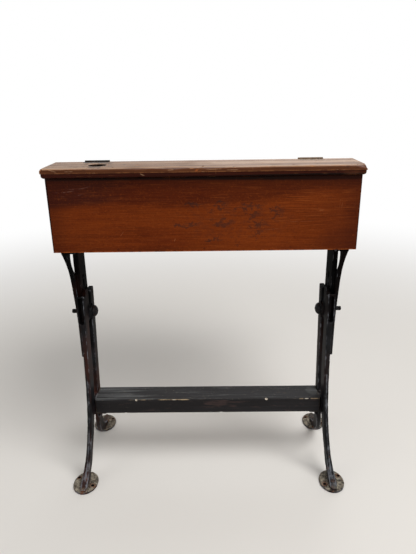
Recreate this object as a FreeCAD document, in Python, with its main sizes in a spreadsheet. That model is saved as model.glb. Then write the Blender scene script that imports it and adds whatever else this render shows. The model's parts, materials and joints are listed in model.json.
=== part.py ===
import FreeCAD, Part
import os
from math import cos, radians, tan

import Sketcher
from FreeCAD import Placement, Rotation, Vector

# A school desk whose box slides up and down on two cast iron standards.
# X runs along the pen ledge, Y from the back panel towards the pupil, Z up.
# Every size is first given from the outer face of the back panel, and each
# piece is then shifted so that the part's origin is the middle of its footprint.

os.makedirs("parts", exist_ok=True)
doc = FreeCAD.newDocument("school_desk")
sheet = doc.addObject("Spreadsheet::Sheet", "sizes")

drivingSizes = {
    # the wooden box
    "desk_height": 722,
    "ledge_width": 610,
    "ledge_thick": 19,
    "ledge_overhang": 6.4,
    "hinge_distance": 95,
    "end_overhang": 6.3,
    "box_back_height": 146.3,
    "lid_overhang": 11.8,
    "board_thick": 16,
    "bottom_thick": 12,
    "lid_slope": 10,
    "lid_length": 323.7,
    "lid_gap": 0.5,
    "mould_step": 1.4,
    "mould_round": 3.2,
    "mould_under_round": 5.5,
    "inkwell_radius": 17.2,
    "inkwell_share": -0.674,
    "inkwell_distance": 39,
    "cleat_width": 40,
    "cleat_thick": 15,
    "cleat_share": 0.812,
    "cleat_inset": 66.7,
    "cleat_distance": 28,
    # nails and screws
    "nail_head_radius": 2.4,
    "nail_head_thick": 1.2,
    "nail_radius": 1.3,
    "nail_length": 38,
    "screw_head_radius": 3.6,
    "screw_head_thick": 2.4,
    "screw_radius": 1.9,
    "hole_clearance": 0.05,
    # the butt hinges
    "hinge_length": 50.8,
    "hinge_share": 0.7115,
    "leaf_thick": 1.6,
    "leaf_width": 19,
    "knuckle_radius": 2.2,
    "knuckle_count": 5,
    "knuckle_gap": 0.3,
    "hinge_pin_radius": 1.1,
    "hinge_screw_length": 13,
    # the upper standards
    "post_below_bolt": 105,
    "arm_below_bolt": 41,
    "post_front": 63,
    "post_back": 119,
    "slide_clearance": 0.3,
    "web_thick": 5,
    "flange_rise": 6.7,
    "arm_offset": 1.7,
    "arm_thick": 9,
    "flange_thick": 5,
    "slot_below_bolt": 88,
    "slot_above_bolt": 87,
    "slot_width": 10.6,
    "arm_reach": 59,
    "top_plate_edge": 2,
    "top_plate_thick": 5,
    "top_plate_front": 6,
    "top_plate_share": 0.7463,
    "rib_drop": 30,
    "rib_share": 0.79,
    "bracket_screw_inset": 5.2,
    "bracket_screw_length": 14,
    # the lower frames
    "leg_inset": 29.7,
    "leg_thick": 11,
    "leg_share": 0.6233,
    "front_splay_share": 0.665,
    "rear_splay_share": 0.471,
    "splay_out": 21,
    "front_reach": 81.5,
    "front_toe": -49.5,
    "rear_reach": 160,
    "rear_start": 71,
    "guide_clearance": 2,
    "guide_height": 67,
    "guide_wall": 3,
    "guide_depth": 20,
    "clamp_web_recess": 2,
    "boss_rise": 4,
    "boss_radius": 17,
    "bolt_distance": 88.5,
    "bolt_share": 0.8733,
    "bolt_radius": 5,
    "bolt_head_radius": 13.5,
    "bolt_head_thick": 10.5,
    "bolt_reach": 16.7,
    "washer_thick": 2,
    "washer_radius": 11,
    "nut_thick": 8,
    "nut_across_flats": 16.5,
    "running_clearance": 0.05,
    "foot_width": 57,
    "foot_length": 71,
    "foot_thick": 5,
    "foot_crown": 2.5,
    "foot_slope": 1.7,
    "front_foot_distance": -16,
    "rear_foot_distance": 210.5,
    "foot_hole_radius": 2.8,
    "foot_hole_along": 26,
    "foot_hole_across": 37,
    "instep_width": 24,
    "instep_rise": 6,
    # the footrest
    "footrest_share": 0.4222,
    "footrest_thick": 35,
    "footrest_front": 39,
    "footrest_depth": 56,
    "footrest_round": 2,
    "lug_thick": 6,
    "lug_length": 22,
    "lug_inset": 4,
    "lug_gusset": 24,
    "footrest_screw_length": 24,
}


class Size:
    # a length together with the sheet formula that it is worked out from
    def __init__(self, value, formula):
        self.value = value
        self.formula = formula

    def __add__(self, other):
        other = asSize(other)
        return Size(self.value + other.value, f"({self.formula} + {other.formula})")

    def __sub__(self, other):
        other = asSize(other)
        return Size(self.value - other.value, f"({self.formula} - {other.formula})")

    def __mul__(self, other):
        other = asSize(other)
        return Size(self.value * other.value, f"({self.formula} * {other.formula})")

    def __truediv__(self, other):
        other = asSize(other)
        return Size(self.value / other.value, f"({self.formula} / {other.formula})")

    def __neg__(self):
        return Size(-self.value, f"(0 - {self.formula})")

    def __rsub__(self, other):
        return asSize(other) - self

    __radd__ = __add__
    __rmul__ = __mul__


def asSize(number):
    return number if isinstance(number, Size) else Size(number, repr(number))


def cosine(angle):
    return Size(cos(radians(angle.value)), f"cos({angle.formula})")


def tangent(angle):
    return Size(tan(radians(angle.value)), f"tan({angle.formula})")


class Named:
    # the sheet's sizes by name
    pass


size = Named()
for row, (name, number) in enumerate(drivingSizes.items(), start=1):
    sheet.set(f"A{row}", name.replace("_", " "))
    sheet.set(f"B{row}", str(number))
    sheet.setAlias(f"B{row}", name)
    setattr(size, name, Size(number, f"sizes.{name}"))
doc.recompute()

zero = Size(0, "0")
half = 0.5

# The box and lid, worked out from the driving sizes.
ledgeUnder = size.desk_height - size.ledge_thick
boxBottom = ledgeUnder - size.box_back_height
ledgeHalf = size.ledge_width * half
boxHalf = ledgeHalf - size.end_overhang
innerHalf = boxHalf - size.board_thick
lidFront = size.hinge_distance + size.lid_length * cosine(size.lid_slope)
boxDepth = lidFront - size.lid_overhang
frontInner = boxDepth - size.board_thick
axisRise = size.knuckle_radius - size.leaf_thick
axisHeight = size.desk_height + axisRise
lidThick = (size.ledge_thick + axisRise) * cosine(size.lid_slope) - axisRise
slopeRate = tangent(size.lid_slope)
inkwellAcross = ledgeHalf * size.inkwell_share
hingeAcross = ledgeHalf * size.hinge_share
cleatAcross = boxHalf - size.cleat_inset
cleatLength = size.lid_length * size.cleat_share

# Sizes across the castings, from the box's side inwards and then out to the bolt's end.
legOuter = boxHalf - size.leg_inset
legInner = legOuter - size.leg_thick
legMiddle = (legInner + legOuter) * half
webInner = legOuter + size.slide_clearance
webOuter = webInner + size.web_thick
flangeOuter = webOuter + size.flange_rise
armInner = webOuter + size.arm_offset
armOuter = armInner + size.arm_thick
topPlateOuter = armOuter + size.top_plate_edge
guideOuter = armInner - size.guide_clearance
clampWebInner = legInner + size.clamp_web_recess
bossInner = legInner - size.boss_rise
boltEnd = armOuter + size.bolt_reach
footAcross = legMiddle + size.splay_out
footrestHalf = legInner - size.slide_clearance
bracketScrewAcross = legInner + size.bracket_screw_inset

# Heights and distances of the castings.
legHeight = size.desk_height * size.leg_share
boltHeight = legHeight * size.bolt_share
footrestTop = legHeight * size.footrest_share
frontSplay = legHeight * size.front_splay_share
rearSplay = legHeight * size.rear_splay_share
postLow = boltHeight - size.post_below_bolt
armLow = boltHeight - size.arm_below_bolt
slotBottom = boltHeight - size.slot_below_bolt
slotTop = boltHeight + size.slot_above_bolt
topPlateUnder = boxBottom - size.top_plate_thick
topPlateBack = boxDepth * size.top_plate_share
ribReach = (topPlateBack - size.post_back) * size.rib_share
footFront = size.front_foot_distance - size.foot_length * half
middleDistance = (lidFront + footFront) * half
boltHole = size.bolt_radius + size.running_clearance


def slopeHeight(distance):
    # height of the boards' sloping tops, which the closed lid lies on
    return ledgeUnder - (distance - size.hinge_distance) * slopeRate


# A plane's name, the axes its sketches lie along, and whether a pad leaves it backwards.
planeRoles = {"across": "YZ_Plane", "along": "XZ_Plane", "level": "XY_Plane"}


def rectangle(low, high):
    (a, b), (c, d) = low, high
    return [[(a, b), (c, b)], [(c, b), (c, d)], [(c, d), (a, d)], [(a, d), (a, b)]]


def polygon(*points):
    return [[start, end] for start, end in zip(points, points[1:] + points[:1])]


def ring(centre, radius):
    return (centre, radius)


def pin(sketch, geometry, point, place):
    # one point of a sketch held at its distances from the sketch's origin
    for kind, amount in (("DistanceX", place[0]), ("DistanceY", place[1])):
        index = sketch.addConstraint(Sketcher.Constraint(kind, geometry, point, amount.value))
        sketch.setExpression(f"Constraints[{index}]", amount.formula)


def flat(place):
    return Vector(place[0].value, place[1].value, 0)


def drawCurve(sketch, poles):
    # a smooth run held by its control points, which are the centres of small rings
    poleRing = 1
    spots = [flat(pole) for pole in poles]
    degree = min(3, len(poles) - 1)
    curve = sketch.addGeometry(Part.BSplineCurve(spots, None, None, False, degree, None, False), False)
    first = curve + 1
    for number, (spot, pole) in enumerate(zip(spots, poles)):
        mark = sketch.addGeometry(Part.Circle(spot, Vector(0, 0, 1), poleRing), True)
        role = "InternalAlignment:Sketcher::BSplineControlPoint"
        sketch.addConstraint(Sketcher.Constraint(role, mark, 3, curve, number))
        if mark == first:
            sketch.addConstraint(Sketcher.Constraint("Weight", mark, 1.0))
        else:
            sketch.addConstraint(Sketcher.Constraint("Equal", first, mark))
        pin(sketch, mark, 3, pole)
    return curve


def drawLoop(sketch, runs):
    ends = []
    for run in runs:
        if len(run) == 2:
            line = sketch.addGeometry(Part.LineSegment(flat(run[0]), flat(run[1])), False)
            ends.append((line, False))
        else:
            ends.append((drawCurve(sketch, run), True))
    for number, (geometry, curved) in enumerate(ends):
        following, nextCurved = ends[(number + 1) % len(ends)]
        if curved and nextCurved:
            continue  # both curves hold the shared end already
        sketch.addConstraint(Sketcher.Constraint("Coincident", geometry, 2, following, 1))
        if not curved and not nextCurved:
            pin(sketch, geometry, 2, runs[number][-1])


def drawRing(sketch, centre, radius):
    circle = sketch.addGeometry(Part.Circle(flat(centre), Vector(0, 0, 1), radius.value), False)
    index = sketch.addConstraint(Sketcher.Constraint("Radius", circle, radius.value))
    sketch.setExpression(f"Constraints[{index}]", radius.formula)
    pin(sketch, circle, 3, centre)


class Piece:
    # one separate piece of the desk, built up from outlines on its body's own planes
    def __init__(self, label, base=(zero, zero, zero), turn=None):
        self.body = doc.addObject("PartDesign::Body", label)
        self.body.Label = label
        self.body.AllowCompound = True
        self.label = label
        self.features = 0
        if turn is not None:
            self.body.Placement = Placement(Vector(0, 0, 0), Rotation(Vector(1, 0, 0), turn.value))
            self.body.setExpression("Placement.Rotation.Angle", turn.formula)
        shifted = (base[0], base[1] - middleDistance, base[2])
        for axis, amount in zip("xyz", shifted):
            self.body.setExpression(f"Placement.Base.{axis}", amount.formula)

    def sketch(self, plane, loops, level=zero):
        self.features += 1
        drawing = self.body.newObject("Sketcher::SketchObject", f"{self.label}_outline_{self.features}")
        origin = next(item for item in self.body.Origin.OriginFeatures if item.Role == planeRoles[plane])
        drawing.AttachmentSupport = [(origin, "")]
        drawing.MapMode = "FlatFace"
        away = -level if plane == "along" else level
        drawing.setExpression("AttachmentOffset.Base.z", away.formula)
        for loop in loops:
            if isinstance(loop, tuple):
                drawRing(drawing, *loop)
            else:
                drawLoop(drawing, loop)
        return drawing

    def run(self, kind, plane, loops, low, high, taper=None):
        # a pad or pocket that fills the space between two levels of a plane
        drawing = self.sketch(plane, loops, low)
        before = self.volume()
        step = self.body.newObject(f"PartDesign::{kind}", f"{self.label}_{kind.lower()}_{self.features}")
        step.Profile = drawing
        step.setExpression("Length", (high - low).formula)
        if taper is not None:
            step.setExpression("TaperAngle", taper.formula)
        step.Reversed = (kind == "Pad") == (plane == "along")
        drawing.Visibility = False
        doc.recompute()
        gained = self.volume() - before
        if not step.isValid() or (gained > 0) != (kind == "Pad"):
            raise RuntimeError(f"{step.Name} changed the volume by {gained:.1f}")
        return self

    def pad(self, plane, loops, low, high, taper=None):
        return self.run("Pad", plane, loops, low, high, taper)

    def cut(self, plane, loops, low, high):
        return self.run("Pocket", plane, loops, low, high)

    def loft(self, loops, low, high):
        # a solid between two level outlines, one at each level
        drawings = [self.sketch("level", [loop], level) for loop, level in zip(loops, (low, high))]
        step = self.body.newObject("PartDesign::AdditiveLoft", f"{self.label}_loft_{self.features}")
        step.Profile = drawings[0]
        step.Sections = drawings[1:]
        step.Ruled = True
        for drawing in drawings:
            drawing.Visibility = False
        doc.recompute()
        return self

    def turned(self, runs):
        # a solid of revolution about the body's X axis
        drawing = self.sketch("level", [runs])
        step = self.body.newObject("PartDesign::Revolution", f"{self.label}_revolution")
        step.Profile = drawing
        axis = next(item for item in self.body.Origin.OriginFeatures if item.Role == "X_Axis")
        step.ReferenceAxis = (axis, [""])
        step.Angle = 360
        doc.recompute()
        return self

    def rounded(self, radius, chosen):
        # a fillet on every edge whose middle the test picks
        solid = self.body.Tip
        names = []
        for number, edge in enumerate(solid.Shape.Edges, start=1):
            middle = edge.valueAt((edge.FirstParameter + edge.LastParameter) / 2)
            if chosen(middle):
                names.append(f"Edge{number}")
        step = self.body.newObject("PartDesign::Fillet", f"{self.label}_fillet_{self.features}")
        step.Base = (solid, names)
        step.setExpression("Radius", radius.formula)
        self.features += 1
        self.body.Tip = step
        doc.recompute()
        return self

    def volume(self):
        shape = self.body.Shape
        return shape.Volume if self.body.Tip and not shape.isNull() else 0


parts = {}


def finished(piece):
    parts[piece.label] = piece.body
    return piece


def mirrored(piece, label):
    # the same piece on the desk's left-hand side
    twin = doc.addObject("Part::Mirroring", label)
    twin.Label = label
    twin.Source = piece.body
    twin.Normal = Vector(1, 0, 0)
    parts[label] = twin


def near(number, target):
    tolerance = 0.01
    return abs(number - target.value) < tolerance


def fastenerRings(places, radius):
    return [ring(place, radius) for place in places]


def fastenerHoles(piece, plane, places, levels):
    # holes for a head and a shank, from the head's outer face inwards
    outer, seat, tip = levels
    heads, shanks = size.nail_head_radius, size.nail_radius
    for radius, start, end in ((heads, outer, seat), (shanks, seat, tip)):
        low, high = (start, end) if start.value < end.value else (end, start)
        piece.cut(plane, fastenerRings(places, radius + size.hole_clearance), low, high)


# Nail places on each face of the box, as pairs along that face's own two axes.
sideMiddle = boxHalf - size.board_thick * half
bottomMiddle = boxBottom + size.bottom_thick * half
panelThirds = (0.2, 0.5, 0.8)
endRows = [boxBottom + size.box_back_height * share for share in panelThirds]
frontHeight = slopeHeight(boxDepth) - boxBottom
frontRows = [boxBottom + frontHeight * share for share in panelThirds]
nailSpacingShare = 0.6
bottomSpacing = innerHalf * nailSpacingShare
backNails = [(side * sideMiddle, row) for side in (-1, 1) for row in endRows]
backNails += [(step * bottomSpacing, bottomMiddle) for step in (-1, 0, 1)]
frontNails = [(side * sideMiddle, row) for side in (-1, 1) for row in frontRows]
frontNails += [(step * bottomSpacing, bottomMiddle) for step in (-1, 0, 1)]
sideNails = [(boxDepth * share, bottomMiddle) for share in panelThirds]
ledgeEndShares = (0.4, 0.75)
ledgeNails = [(side * sideMiddle, size.hinge_distance * share) for side in (-1, 1) for share in ledgeEndShares]
ledgeNails += [(step * bottomSpacing, size.board_thick * half) for step in (-1, 0, 1)]


def backPanel():
    panel = Piece("back_panel")
    panel.pad("along", [rectangle((-boxHalf, boxBottom), (boxHalf, ledgeUnder))], zero, size.board_thick)
    fastenerHoles(panel, "along", backNails, (zero, size.nail_head_thick, size.board_thick))
    topNails = ledgeNails[-3:]
    panel.cut("level", fastenerRings(topNails, size.nail_radius + size.hole_clearance),
              size.desk_height - size.nail_length, ledgeUnder)
    return finished(panel)


def frontPanel():
    panel = Piece("front_panel")
    corners = [(frontInner, boxBottom), (boxDepth, boxBottom),
               (boxDepth, slopeHeight(boxDepth)), (frontInner, slopeHeight(frontInner))]
    panel.pad("across", [polygon(*corners)], -boxHalf, boxHalf)
    face = boxDepth
    fastenerHoles(panel, "along", frontNails, (face, face - size.nail_head_thick, frontInner))
    return finished(panel)


def sideBoard(label, side):
    board = Piece(label)
    corners = [(size.board_thick, boxBottom), (frontInner, boxBottom),
               (frontInner, slopeHeight(frontInner)), (size.hinge_distance, ledgeUnder),
               (size.board_thick, ledgeUnder)]
    low, high = (innerHalf, boxHalf) if side > 0 else (-boxHalf, -innerHalf)
    board.pad("across", [polygon(*corners)], low, high)
    seat = side * (boxHalf - size.nail_head_thick)
    fastenerHoles(board, "across", sideNails, (side * boxHalf, seat, side * innerHalf))
    shank = size.nail_radius + size.hole_clearance
    ownBack = [place for place in backNails[:6] if place[0].value * side > 0]
    board.cut("along", fastenerRings(ownBack, shank), size.board_thick, size.nail_length)
    ownFront = [place for place in frontNails[:6] if place[0].value * side > 0]
    board.cut("along", fastenerRings(ownFront, shank), boxDepth - size.nail_length, frontInner)
    ownTop = [place for place in ledgeNails[:4] if place[0].value * side > 0]
    board.cut("level", fastenerRings(ownTop, shank), size.desk_height - size.nail_length, ledgeUnder)
    return finished(board)


# The top plates' screws go up into the bottom board near its ends.
bracketShares = (0.1, 0.5, 0.9)
plateLength = topPlateBack - size.top_plate_front
bracketDistances = [size.top_plate_front + plateLength * share for share in bracketShares]
bracketScrews = [(side * bracketScrewAcross, place) for side in (-1, 1) for place in bracketDistances]
bracketTip = topPlateUnder - size.screw_head_thick + size.bracket_screw_length


def bottomBoard():
    board = Piece("bottom_board")
    boardTop = boxBottom + size.bottom_thick
    board.pad("level", [rectangle((-innerHalf, size.board_thick), (innerHalf, frontInner))], boxBottom, boardTop)
    shank = size.nail_radius + size.hole_clearance
    board.cut("along", fastenerRings(backNails[-3:], shank), size.board_thick, size.nail_length)
    frontTip = boxDepth - size.nail_length
    board.cut("along", fastenerRings(frontNails[-3:], shank), frontTip, frontInner)
    sideTip = boxHalf - size.nail_length
    board.cut("across", fastenerRings(sideNails, shank), sideTip, innerHalf)
    board.cut("across", fastenerRings(sideNails, shank), -innerHalf, -sideTip)
    screwHole = size.screw_radius + size.hole_clearance
    board.cut("level", fastenerRings(bracketScrews, screwHole), boxBottom, bracketTip)
    return finished(board)


# The hinge frame has its origin on the hinge pins' axis and its Z away from the boards.
leafTop = -axisRise
leafUnder = -size.knuckle_radius
hingeHalf = size.hinge_length * half
leafStart = size.knuckle_radius + size.lid_gap
leafMiddle = (leafStart + size.leaf_width) * half
hingeScrewShares = (-0.7, 0, 0.7)
hingeRelief = size.knuckle_radius + size.lid_gap
hingeCentres = (-hingeAcross, hingeAcross)
hingeBase = (zero, size.hinge_distance, axisHeight)
lidTurn = -size.lid_slope
staggerShare = 0.45
stagger = (leafMiddle - leafStart) * staggerShare


def hingeScrewPlaces(centre, side):
    # the middle screw of three sits further from the knuckle
    places = []
    for share in hingeScrewShares:
        out = leafMiddle + stagger if share == 0 else leafMiddle - stagger
        places.append((centre + hingeHalf * share, side * out))
    return places


def hingeRecess(piece, side, axisLevel):
    # leaf beds, a groove for the knuckles and the screw holes
    shift = zero if side > 0 else size.hinge_distance
    edge = size.hole_clearance
    for centre in hingeCentres:
        low, high = centre - hingeHalf - edge, centre + hingeHalf + edge
        leafEdge, far = shift, shift + side * (size.leaf_width + edge)
        corners = ((low, leafEdge), (high, far)) if side > 0 else ((low, far), (high, leafEdge))
        piece.cut("level", [rectangle(*corners)], axisLevel + leafUnder, axisLevel + leafTop)
        piece.cut("across", [ring((shift, axisLevel), hingeRelief)], low, high)
        places = [(a, shift + b) for a, b in hingeScrewPlaces(centre, side)]
        hole = size.screw_radius + size.hole_clearance
        bed = axisLevel + leafUnder
        piece.cut("level", fastenerRings(places, hole), bed - size.hinge_screw_length, bed)


def mouldedBoard(piece, low, high, under, top, plainSide):
    # a board whose upper half stands out over a stepped and rounded lower half
    (a, b), (c, d) = low, high
    step = size.mould_step
    stepLevel = (under + top) * half
    inner = [(a + step, b if plainSide == "low" else b + step), (c - step, d if plainSide == "high" else d - step)]
    piece.pad("level", [rectangle(*inner)], under, stepLevel)
    piece.pad("level", [rectangle(low, high)], stepLevel, top)
    plain = b if plainSide == "low" else d
    piece.rounded(size.mould_round, lambda spot: near(spot.z, top) and not near(spot.y, plain))
    piece.rounded(size.mould_under_round, lambda spot: near(spot.z, under) and not near(spot.y, plain))


def penLedge():
    ledge = Piece("pen_ledge")
    joint = size.hinge_distance - size.lid_gap
    mouldedBoard(ledge, (-ledgeHalf, -size.ledge_overhang), (ledgeHalf, joint), ledgeUnder, size.desk_height, "high")
    well = ring((inkwellAcross, size.inkwell_distance), size.inkwell_radius)
    ledge.cut("level", [well], ledgeUnder, size.desk_height)
    top = size.desk_height
    fastenerHoles(ledge, "level", ledgeNails, (top, top - size.nail_head_thick, ledgeUnder))
    hingeRecess(ledge, -1, axisHeight)
    return finished(ledge)


# The cleats' screws go through the cleat into the lid.
cleatTop = -(lidThick + axisRise)
cleatUnder = cleatTop - size.cleat_thick
cleatEnd = size.cleat_distance + cleatLength
cleatScrewShares = (0.12, 0.5, 0.88)
cleatScrewReachShare = 0.6
cleatScrewTip = cleatTop + lidThick * cleatScrewReachShare


def cleatScrewPlaces(side):
    return [(side * cleatAcross, size.cleat_distance + cleatLength * share)
            for share in cleatScrewShares]


def deskLid():
    lid = Piece("lid", hingeBase, lidTurn)
    mouldedBoard(lid, (-ledgeHalf, size.lid_gap), (ledgeHalf, size.lid_length), cleatTop, -axisRise, "low")
    # the back edge is upright when the lid is closed, so it leans in the lid's own frame
    depth = -cleatTop + size.lid_gap
    backTop = size.lid_gap / cosine(size.lid_slope)
    wedge = polygon((zero, zero), (backTop, zero), (backTop + depth * slopeRate, -depth), (zero, -depth))
    lid.cut("across", [wedge], -ledgeHalf, ledgeHalf)
    hingeRecess(lid, 1, zero)
    hole = size.screw_radius + size.hole_clearance
    for side in (-1, 1):
        lid.cut("level", fastenerRings(cleatScrewPlaces(side), hole), cleatTop, cleatScrewTip)
    return finished(lid)


def lidCleat(label, side):
    cleat = Piece(label, hingeBase, lidTurn)
    middle, reach = side * cleatAcross, size.cleat_width * half
    outline = rectangle((middle - reach, size.cleat_distance), (middle + reach, cleatEnd))
    cleat.pad("level", [outline], cleatUnder, cleatTop)
    places = cleatScrewPlaces(side)
    seat = cleatUnder + size.screw_head_thick
    cleat.cut("level", fastenerRings(places, size.screw_head_radius + size.hole_clearance), cleatUnder, seat)
    cleat.cut("level", fastenerRings(places, size.screw_radius + size.hole_clearance), seat, cleatTop)
    return finished(cleat)


def hingeLeaf(label, centre, side):
    # a leaf with every other knuckle of the barrel; side is 1 for the lid's leaf
    turn = lidTurn if side > 0 else None
    leaf = Piece(label, hingeBase, turn)
    pitch = size.hinge_length / size.knuckle_count
    plate = sorted((side * leafStart, side * size.leaf_width), key=lambda place: place.value)
    low, high = centre - hingeHalf, centre + hingeHalf
    leaf.pad("level", [rectangle((low, plate[0]), (high, plate[1]))], leafUnder, leafTop)
    tongue = sorted((zero, side * leafStart), key=lambda place: place.value)
    bore = ring((zero, zero), size.hinge_pin_radius + size.running_clearance)
    wholeCount = int(size.knuckle_count.value)
    for number in range(0 if side < 0 else 1, wholeCount, 2):
        start = low + pitch * number + size.knuckle_gap * half
        end = start + pitch - size.knuckle_gap
        leaf.pad("across", [rectangle((tongue[0], leafUnder), (tongue[1], leafTop))], start, end)
        leaf.pad("across", [ring((zero, zero), size.knuckle_radius)], start, end)
    leaf.cut("across", [bore], low, high)
    heads = fastenerRings(hingeScrewPlaces(centre, side), size.screw_head_radius + size.hole_clearance)
    leaf.cut("level", heads, leafUnder, leafTop)
    return finished(leaf)


def hingePin(label, centre):
    rod = Piece(label, hingeBase)
    rod.pad("across", [ring((zero, zero), size.hinge_pin_radius)], centre - hingeHalf, centre + hingeHalf)
    return finished(rod)


def hingeScrews(label, side):
    turn = lidTurn if side > 0 else None
    screws = Piece(label, hingeBase, turn)
    places = [place for centre in hingeCentres for place in hingeScrewPlaces(centre, side)]
    screws.pad("level", fastenerRings(places, size.screw_radius), leafUnder - size.hinge_screw_length, leafUnder)
    screws.pad("level", fastenerRings(places, size.screw_head_radius), leafUnder, leafTop)
    return finished(screws)


def cleatScrews():
    screws = Piece("cleat_screws", hingeBase, lidTurn)
    places = cleatScrewPlaces(-1) + cleatScrewPlaces(1)
    seat = cleatUnder + size.screw_head_thick
    screws.pad("level", fastenerRings(places, size.screw_head_radius), cleatUnder, seat)
    screws.pad("level", fastenerRings(places, size.screw_radius), seat, cleatScrewTip)
    return finished(screws)


def nailGroup(label, plane, faces):
    # each face is its nails' places, the level of their heads and the way they point
    nails = Piece(label)
    for places, outer, way in faces:
        seat = outer + way * size.nail_head_thick
        tip = outer + way * size.nail_length
        for radius, start, end in ((size.nail_head_radius, outer, seat), (size.nail_radius, seat, tip)):
            low, high = (start, end) if way > 0 else (end, start)
            nails.pad(plane, fastenerRings(places, radius), low, high)
    return finished(nails)


# Control points of the castings' edges, as shares of a reach and of a height.
armFrontShares = ((0, 0.09), (0.02, 0.2), (0.16, 0.42), (0.29, 0.64), (0.5, 0.81), (0.78, 0.92), (1, 1))
armWindowShares = ((0, 0.93), (0.02, 0.96), (0.25, 0.97), (0.52, 0.96), (0.48, 0.86), (0.33, 0.77), (0.12, 0.71),
                   (0, 0.66))
ribShares = ((0, 1), (0.3, 0.55), (0.65, 0.2), (1, 0))
armHeight = topPlateUnder - armLow


def armPoint(share):
    return (size.post_front - size.arm_reach * share[0], armLow + armHeight * share[1])


def upperStandard():
    standard = Piece("upper_standard_right")
    flangeBack = size.post_front + size.flange_thick
    standard.pad("across", [rectangle((size.post_front, postLow), (size.post_back, topPlateUnder))],
                 webInner, webOuter)
    for low, high in ((size.post_front, flangeBack), (size.post_back - size.flange_thick, size.post_back)):
        standard.pad("across", [rectangle((low, postLow), (high, topPlateUnder))],
                     webOuter, flangeOuter)
    plate = rectangle((legInner, size.top_plate_front), (topPlateOuter, topPlateBack))
    standard.pad("level", [plate], topPlateUnder, boxBottom)
    front = [armPoint(share) for share in armFrontShares]
    window = [armPoint(share) for share in armWindowShares]
    foot, heel = (size.post_front, postLow), (flangeBack, postLow)
    top, windowTop, windowLow = [(flangeBack, level) for level in (front[-1][1], window[0][1], window[-1][1])]
    arm = [[foot, front[0]], front, [front[-1], top], [top, windowTop], [windowTop, window[0]], window,
           [window[-1], windowLow], [windowLow, heel], [heel, foot]]
    standard.pad("across", [arm], armInner, armOuter)
    under = [(size.post_back + ribReach * along, topPlateUnder - size.rib_drop * drop)
             for along, drop in ribShares]
    rib = [under, [under[-1], (size.post_back, topPlateUnder)], [(size.post_back, topPlateUnder), under[0]]]
    standard.pad("across", [rib], webOuter, flangeOuter)
    slotHalf = size.slot_width * half
    slotLow, slotHigh = slotBottom + slotHalf, slotTop - slotHalf
    slot = rectangle((size.bolt_distance - slotHalf, slotLow), (size.bolt_distance + slotHalf, slotHigh))
    standard.cut("across", [slot], webInner, webOuter)
    for level in (slotLow, slotHigh):
        standard.cut("across", [ring((size.bolt_distance, level), slotHalf)], webInner, webOuter)
    screwHole = size.screw_radius + size.hole_clearance
    ownScrews = [place for place in bracketScrews if place[0].value > 0]
    standard.cut("level", fastenerRings(ownScrews, screwHole), topPlateUnder, boxBottom)
    return finished(standard)


def bracketScrewGroup():
    screws = Piece("bracket_screws")
    headLow = topPlateUnder - size.screw_head_thick
    screws.pad("level", fastenerRings(bracketScrews, size.screw_head_radius), headLow, topPlateUnder)
    screws.pad("level", fastenerRings(bracketScrews, size.screw_radius), topPlateUnder, bracketTip)
    return finished(screws)


frontLegFrontShares = ((1, 1), (0.935, 0.88), (0.842, 0.72), (0.776, 0.52), (0.776, 0.34), (0.59, 0.16),
                       (0.36, 0.062), (0, 0.024))
frontLegBackShares = ((0.58, 0.012), (0.74, 0.06), (0.944, 0.17), (1.13, 0.34), (1.215, 0.54), (1.27, 0.72),
                      (1.317, 0.88), (1.354, 0.97))
rearLegFrontShares = ((0.15, 0.98), (0.11, 0.8), (0.06, 0.62), (-0.01, 0.45), (0, 0.29), (0.13, 0.15),
                      (0.38, 0.075), (0.67, 0.028))
rearLegBackShares = ((1, 0.012), (0.7, 0.055), (0.38, 0.13), (0.18, 0.28), (0.16, 0.44), (0.23, 0.62),
                     (0.285, 0.8), (0.33, 0.98))
guideShares = ((0.93, 0.85), (1, 1), (1.354, 0.97), (1.308, 0.85))
guideFaceShare = 0.907
clampWebShares = ((0, 0.81), (0, 0.97), (0.17, 0.96), (0.33, 0.985), (0.5, 1.004), (0.72, 1), (0.72, 0.85))


def legOutline(front, back, start, reach):
    first = [(start + reach * along, legHeight * up) for along, up in front]
    second = [(start + reach * along, legHeight * up) for along, up in back]
    sole = size.foot_thick * half
    toe, heel = (first[-1][0], sole), (second[0][0], sole)
    return [first, [first[-1], toe], [toe, heel], [heel, second[0]], second, [second[-1], first[0]]]


def lowerFrame():
    frame = Piece("lower_frame_right")
    overrun = size.leg_thick
    low, high = legInner - overrun, footAcross + size.foot_width * half
    frontLeg = legOutline(frontLegFrontShares, frontLegBackShares, size.front_toe, size.front_reach)
    rearLeg = legOutline(rearLegFrontShares, rearLegBackShares, size.rear_start, size.rear_reach)
    frame.pad("across", [frontLeg], low, high)
    frame.pad("across", [rearLeg], low, high)
    frontEnd = size.front_toe - size.foot_length
    between = (size.front_toe + size.front_reach * frontLegBackShares[-1][0] + size.rear_start) * half
    rearEnd = size.rear_start + size.rear_reach + size.foot_length
    splayTrim(frame, frontSplay, (low - overrun, high + overrun), (frontEnd, between))
    splayTrim(frame, rearSplay, (low - overrun, high + overrun), (between, rearEnd))
    clampHead(frame)
    footrestLug(frame)
    for distance in (size.front_foot_distance, size.rear_foot_distance):
        footPad(frame, distance)
    return finished(frame)


def splayTrim(frame, start, sides, ends):
    # a bar stands upright above the splay and bends outwards below it along round arcs
    low, high = sides
    top = legHeight + size.leg_thick
    inner = splayRun(legInner, start)
    outer = splayRun(legOuter, start)
    inside = [[(low, zero), (low, top)], [(low, top), (legInner, top)],
              [(legInner, top), inner[0]], inner, [inner[-1], (low, zero)]]
    outside = [[(high, zero), (high, top)], [(high, top), (legOuter, top)],
               [(legOuter, top), outer[0]], outer, [outer[-1], (high, zero)]]
    frame.cut("along", [inside], *ends)
    frame.cut("along", [outside], *ends)


def splayRun(upright, start):
    # a parabola as three control points: level with the bar at the top, tangent at the foot
    return [(upright, start), (upright, start * half), (upright + size.splay_out, zero)]


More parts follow.
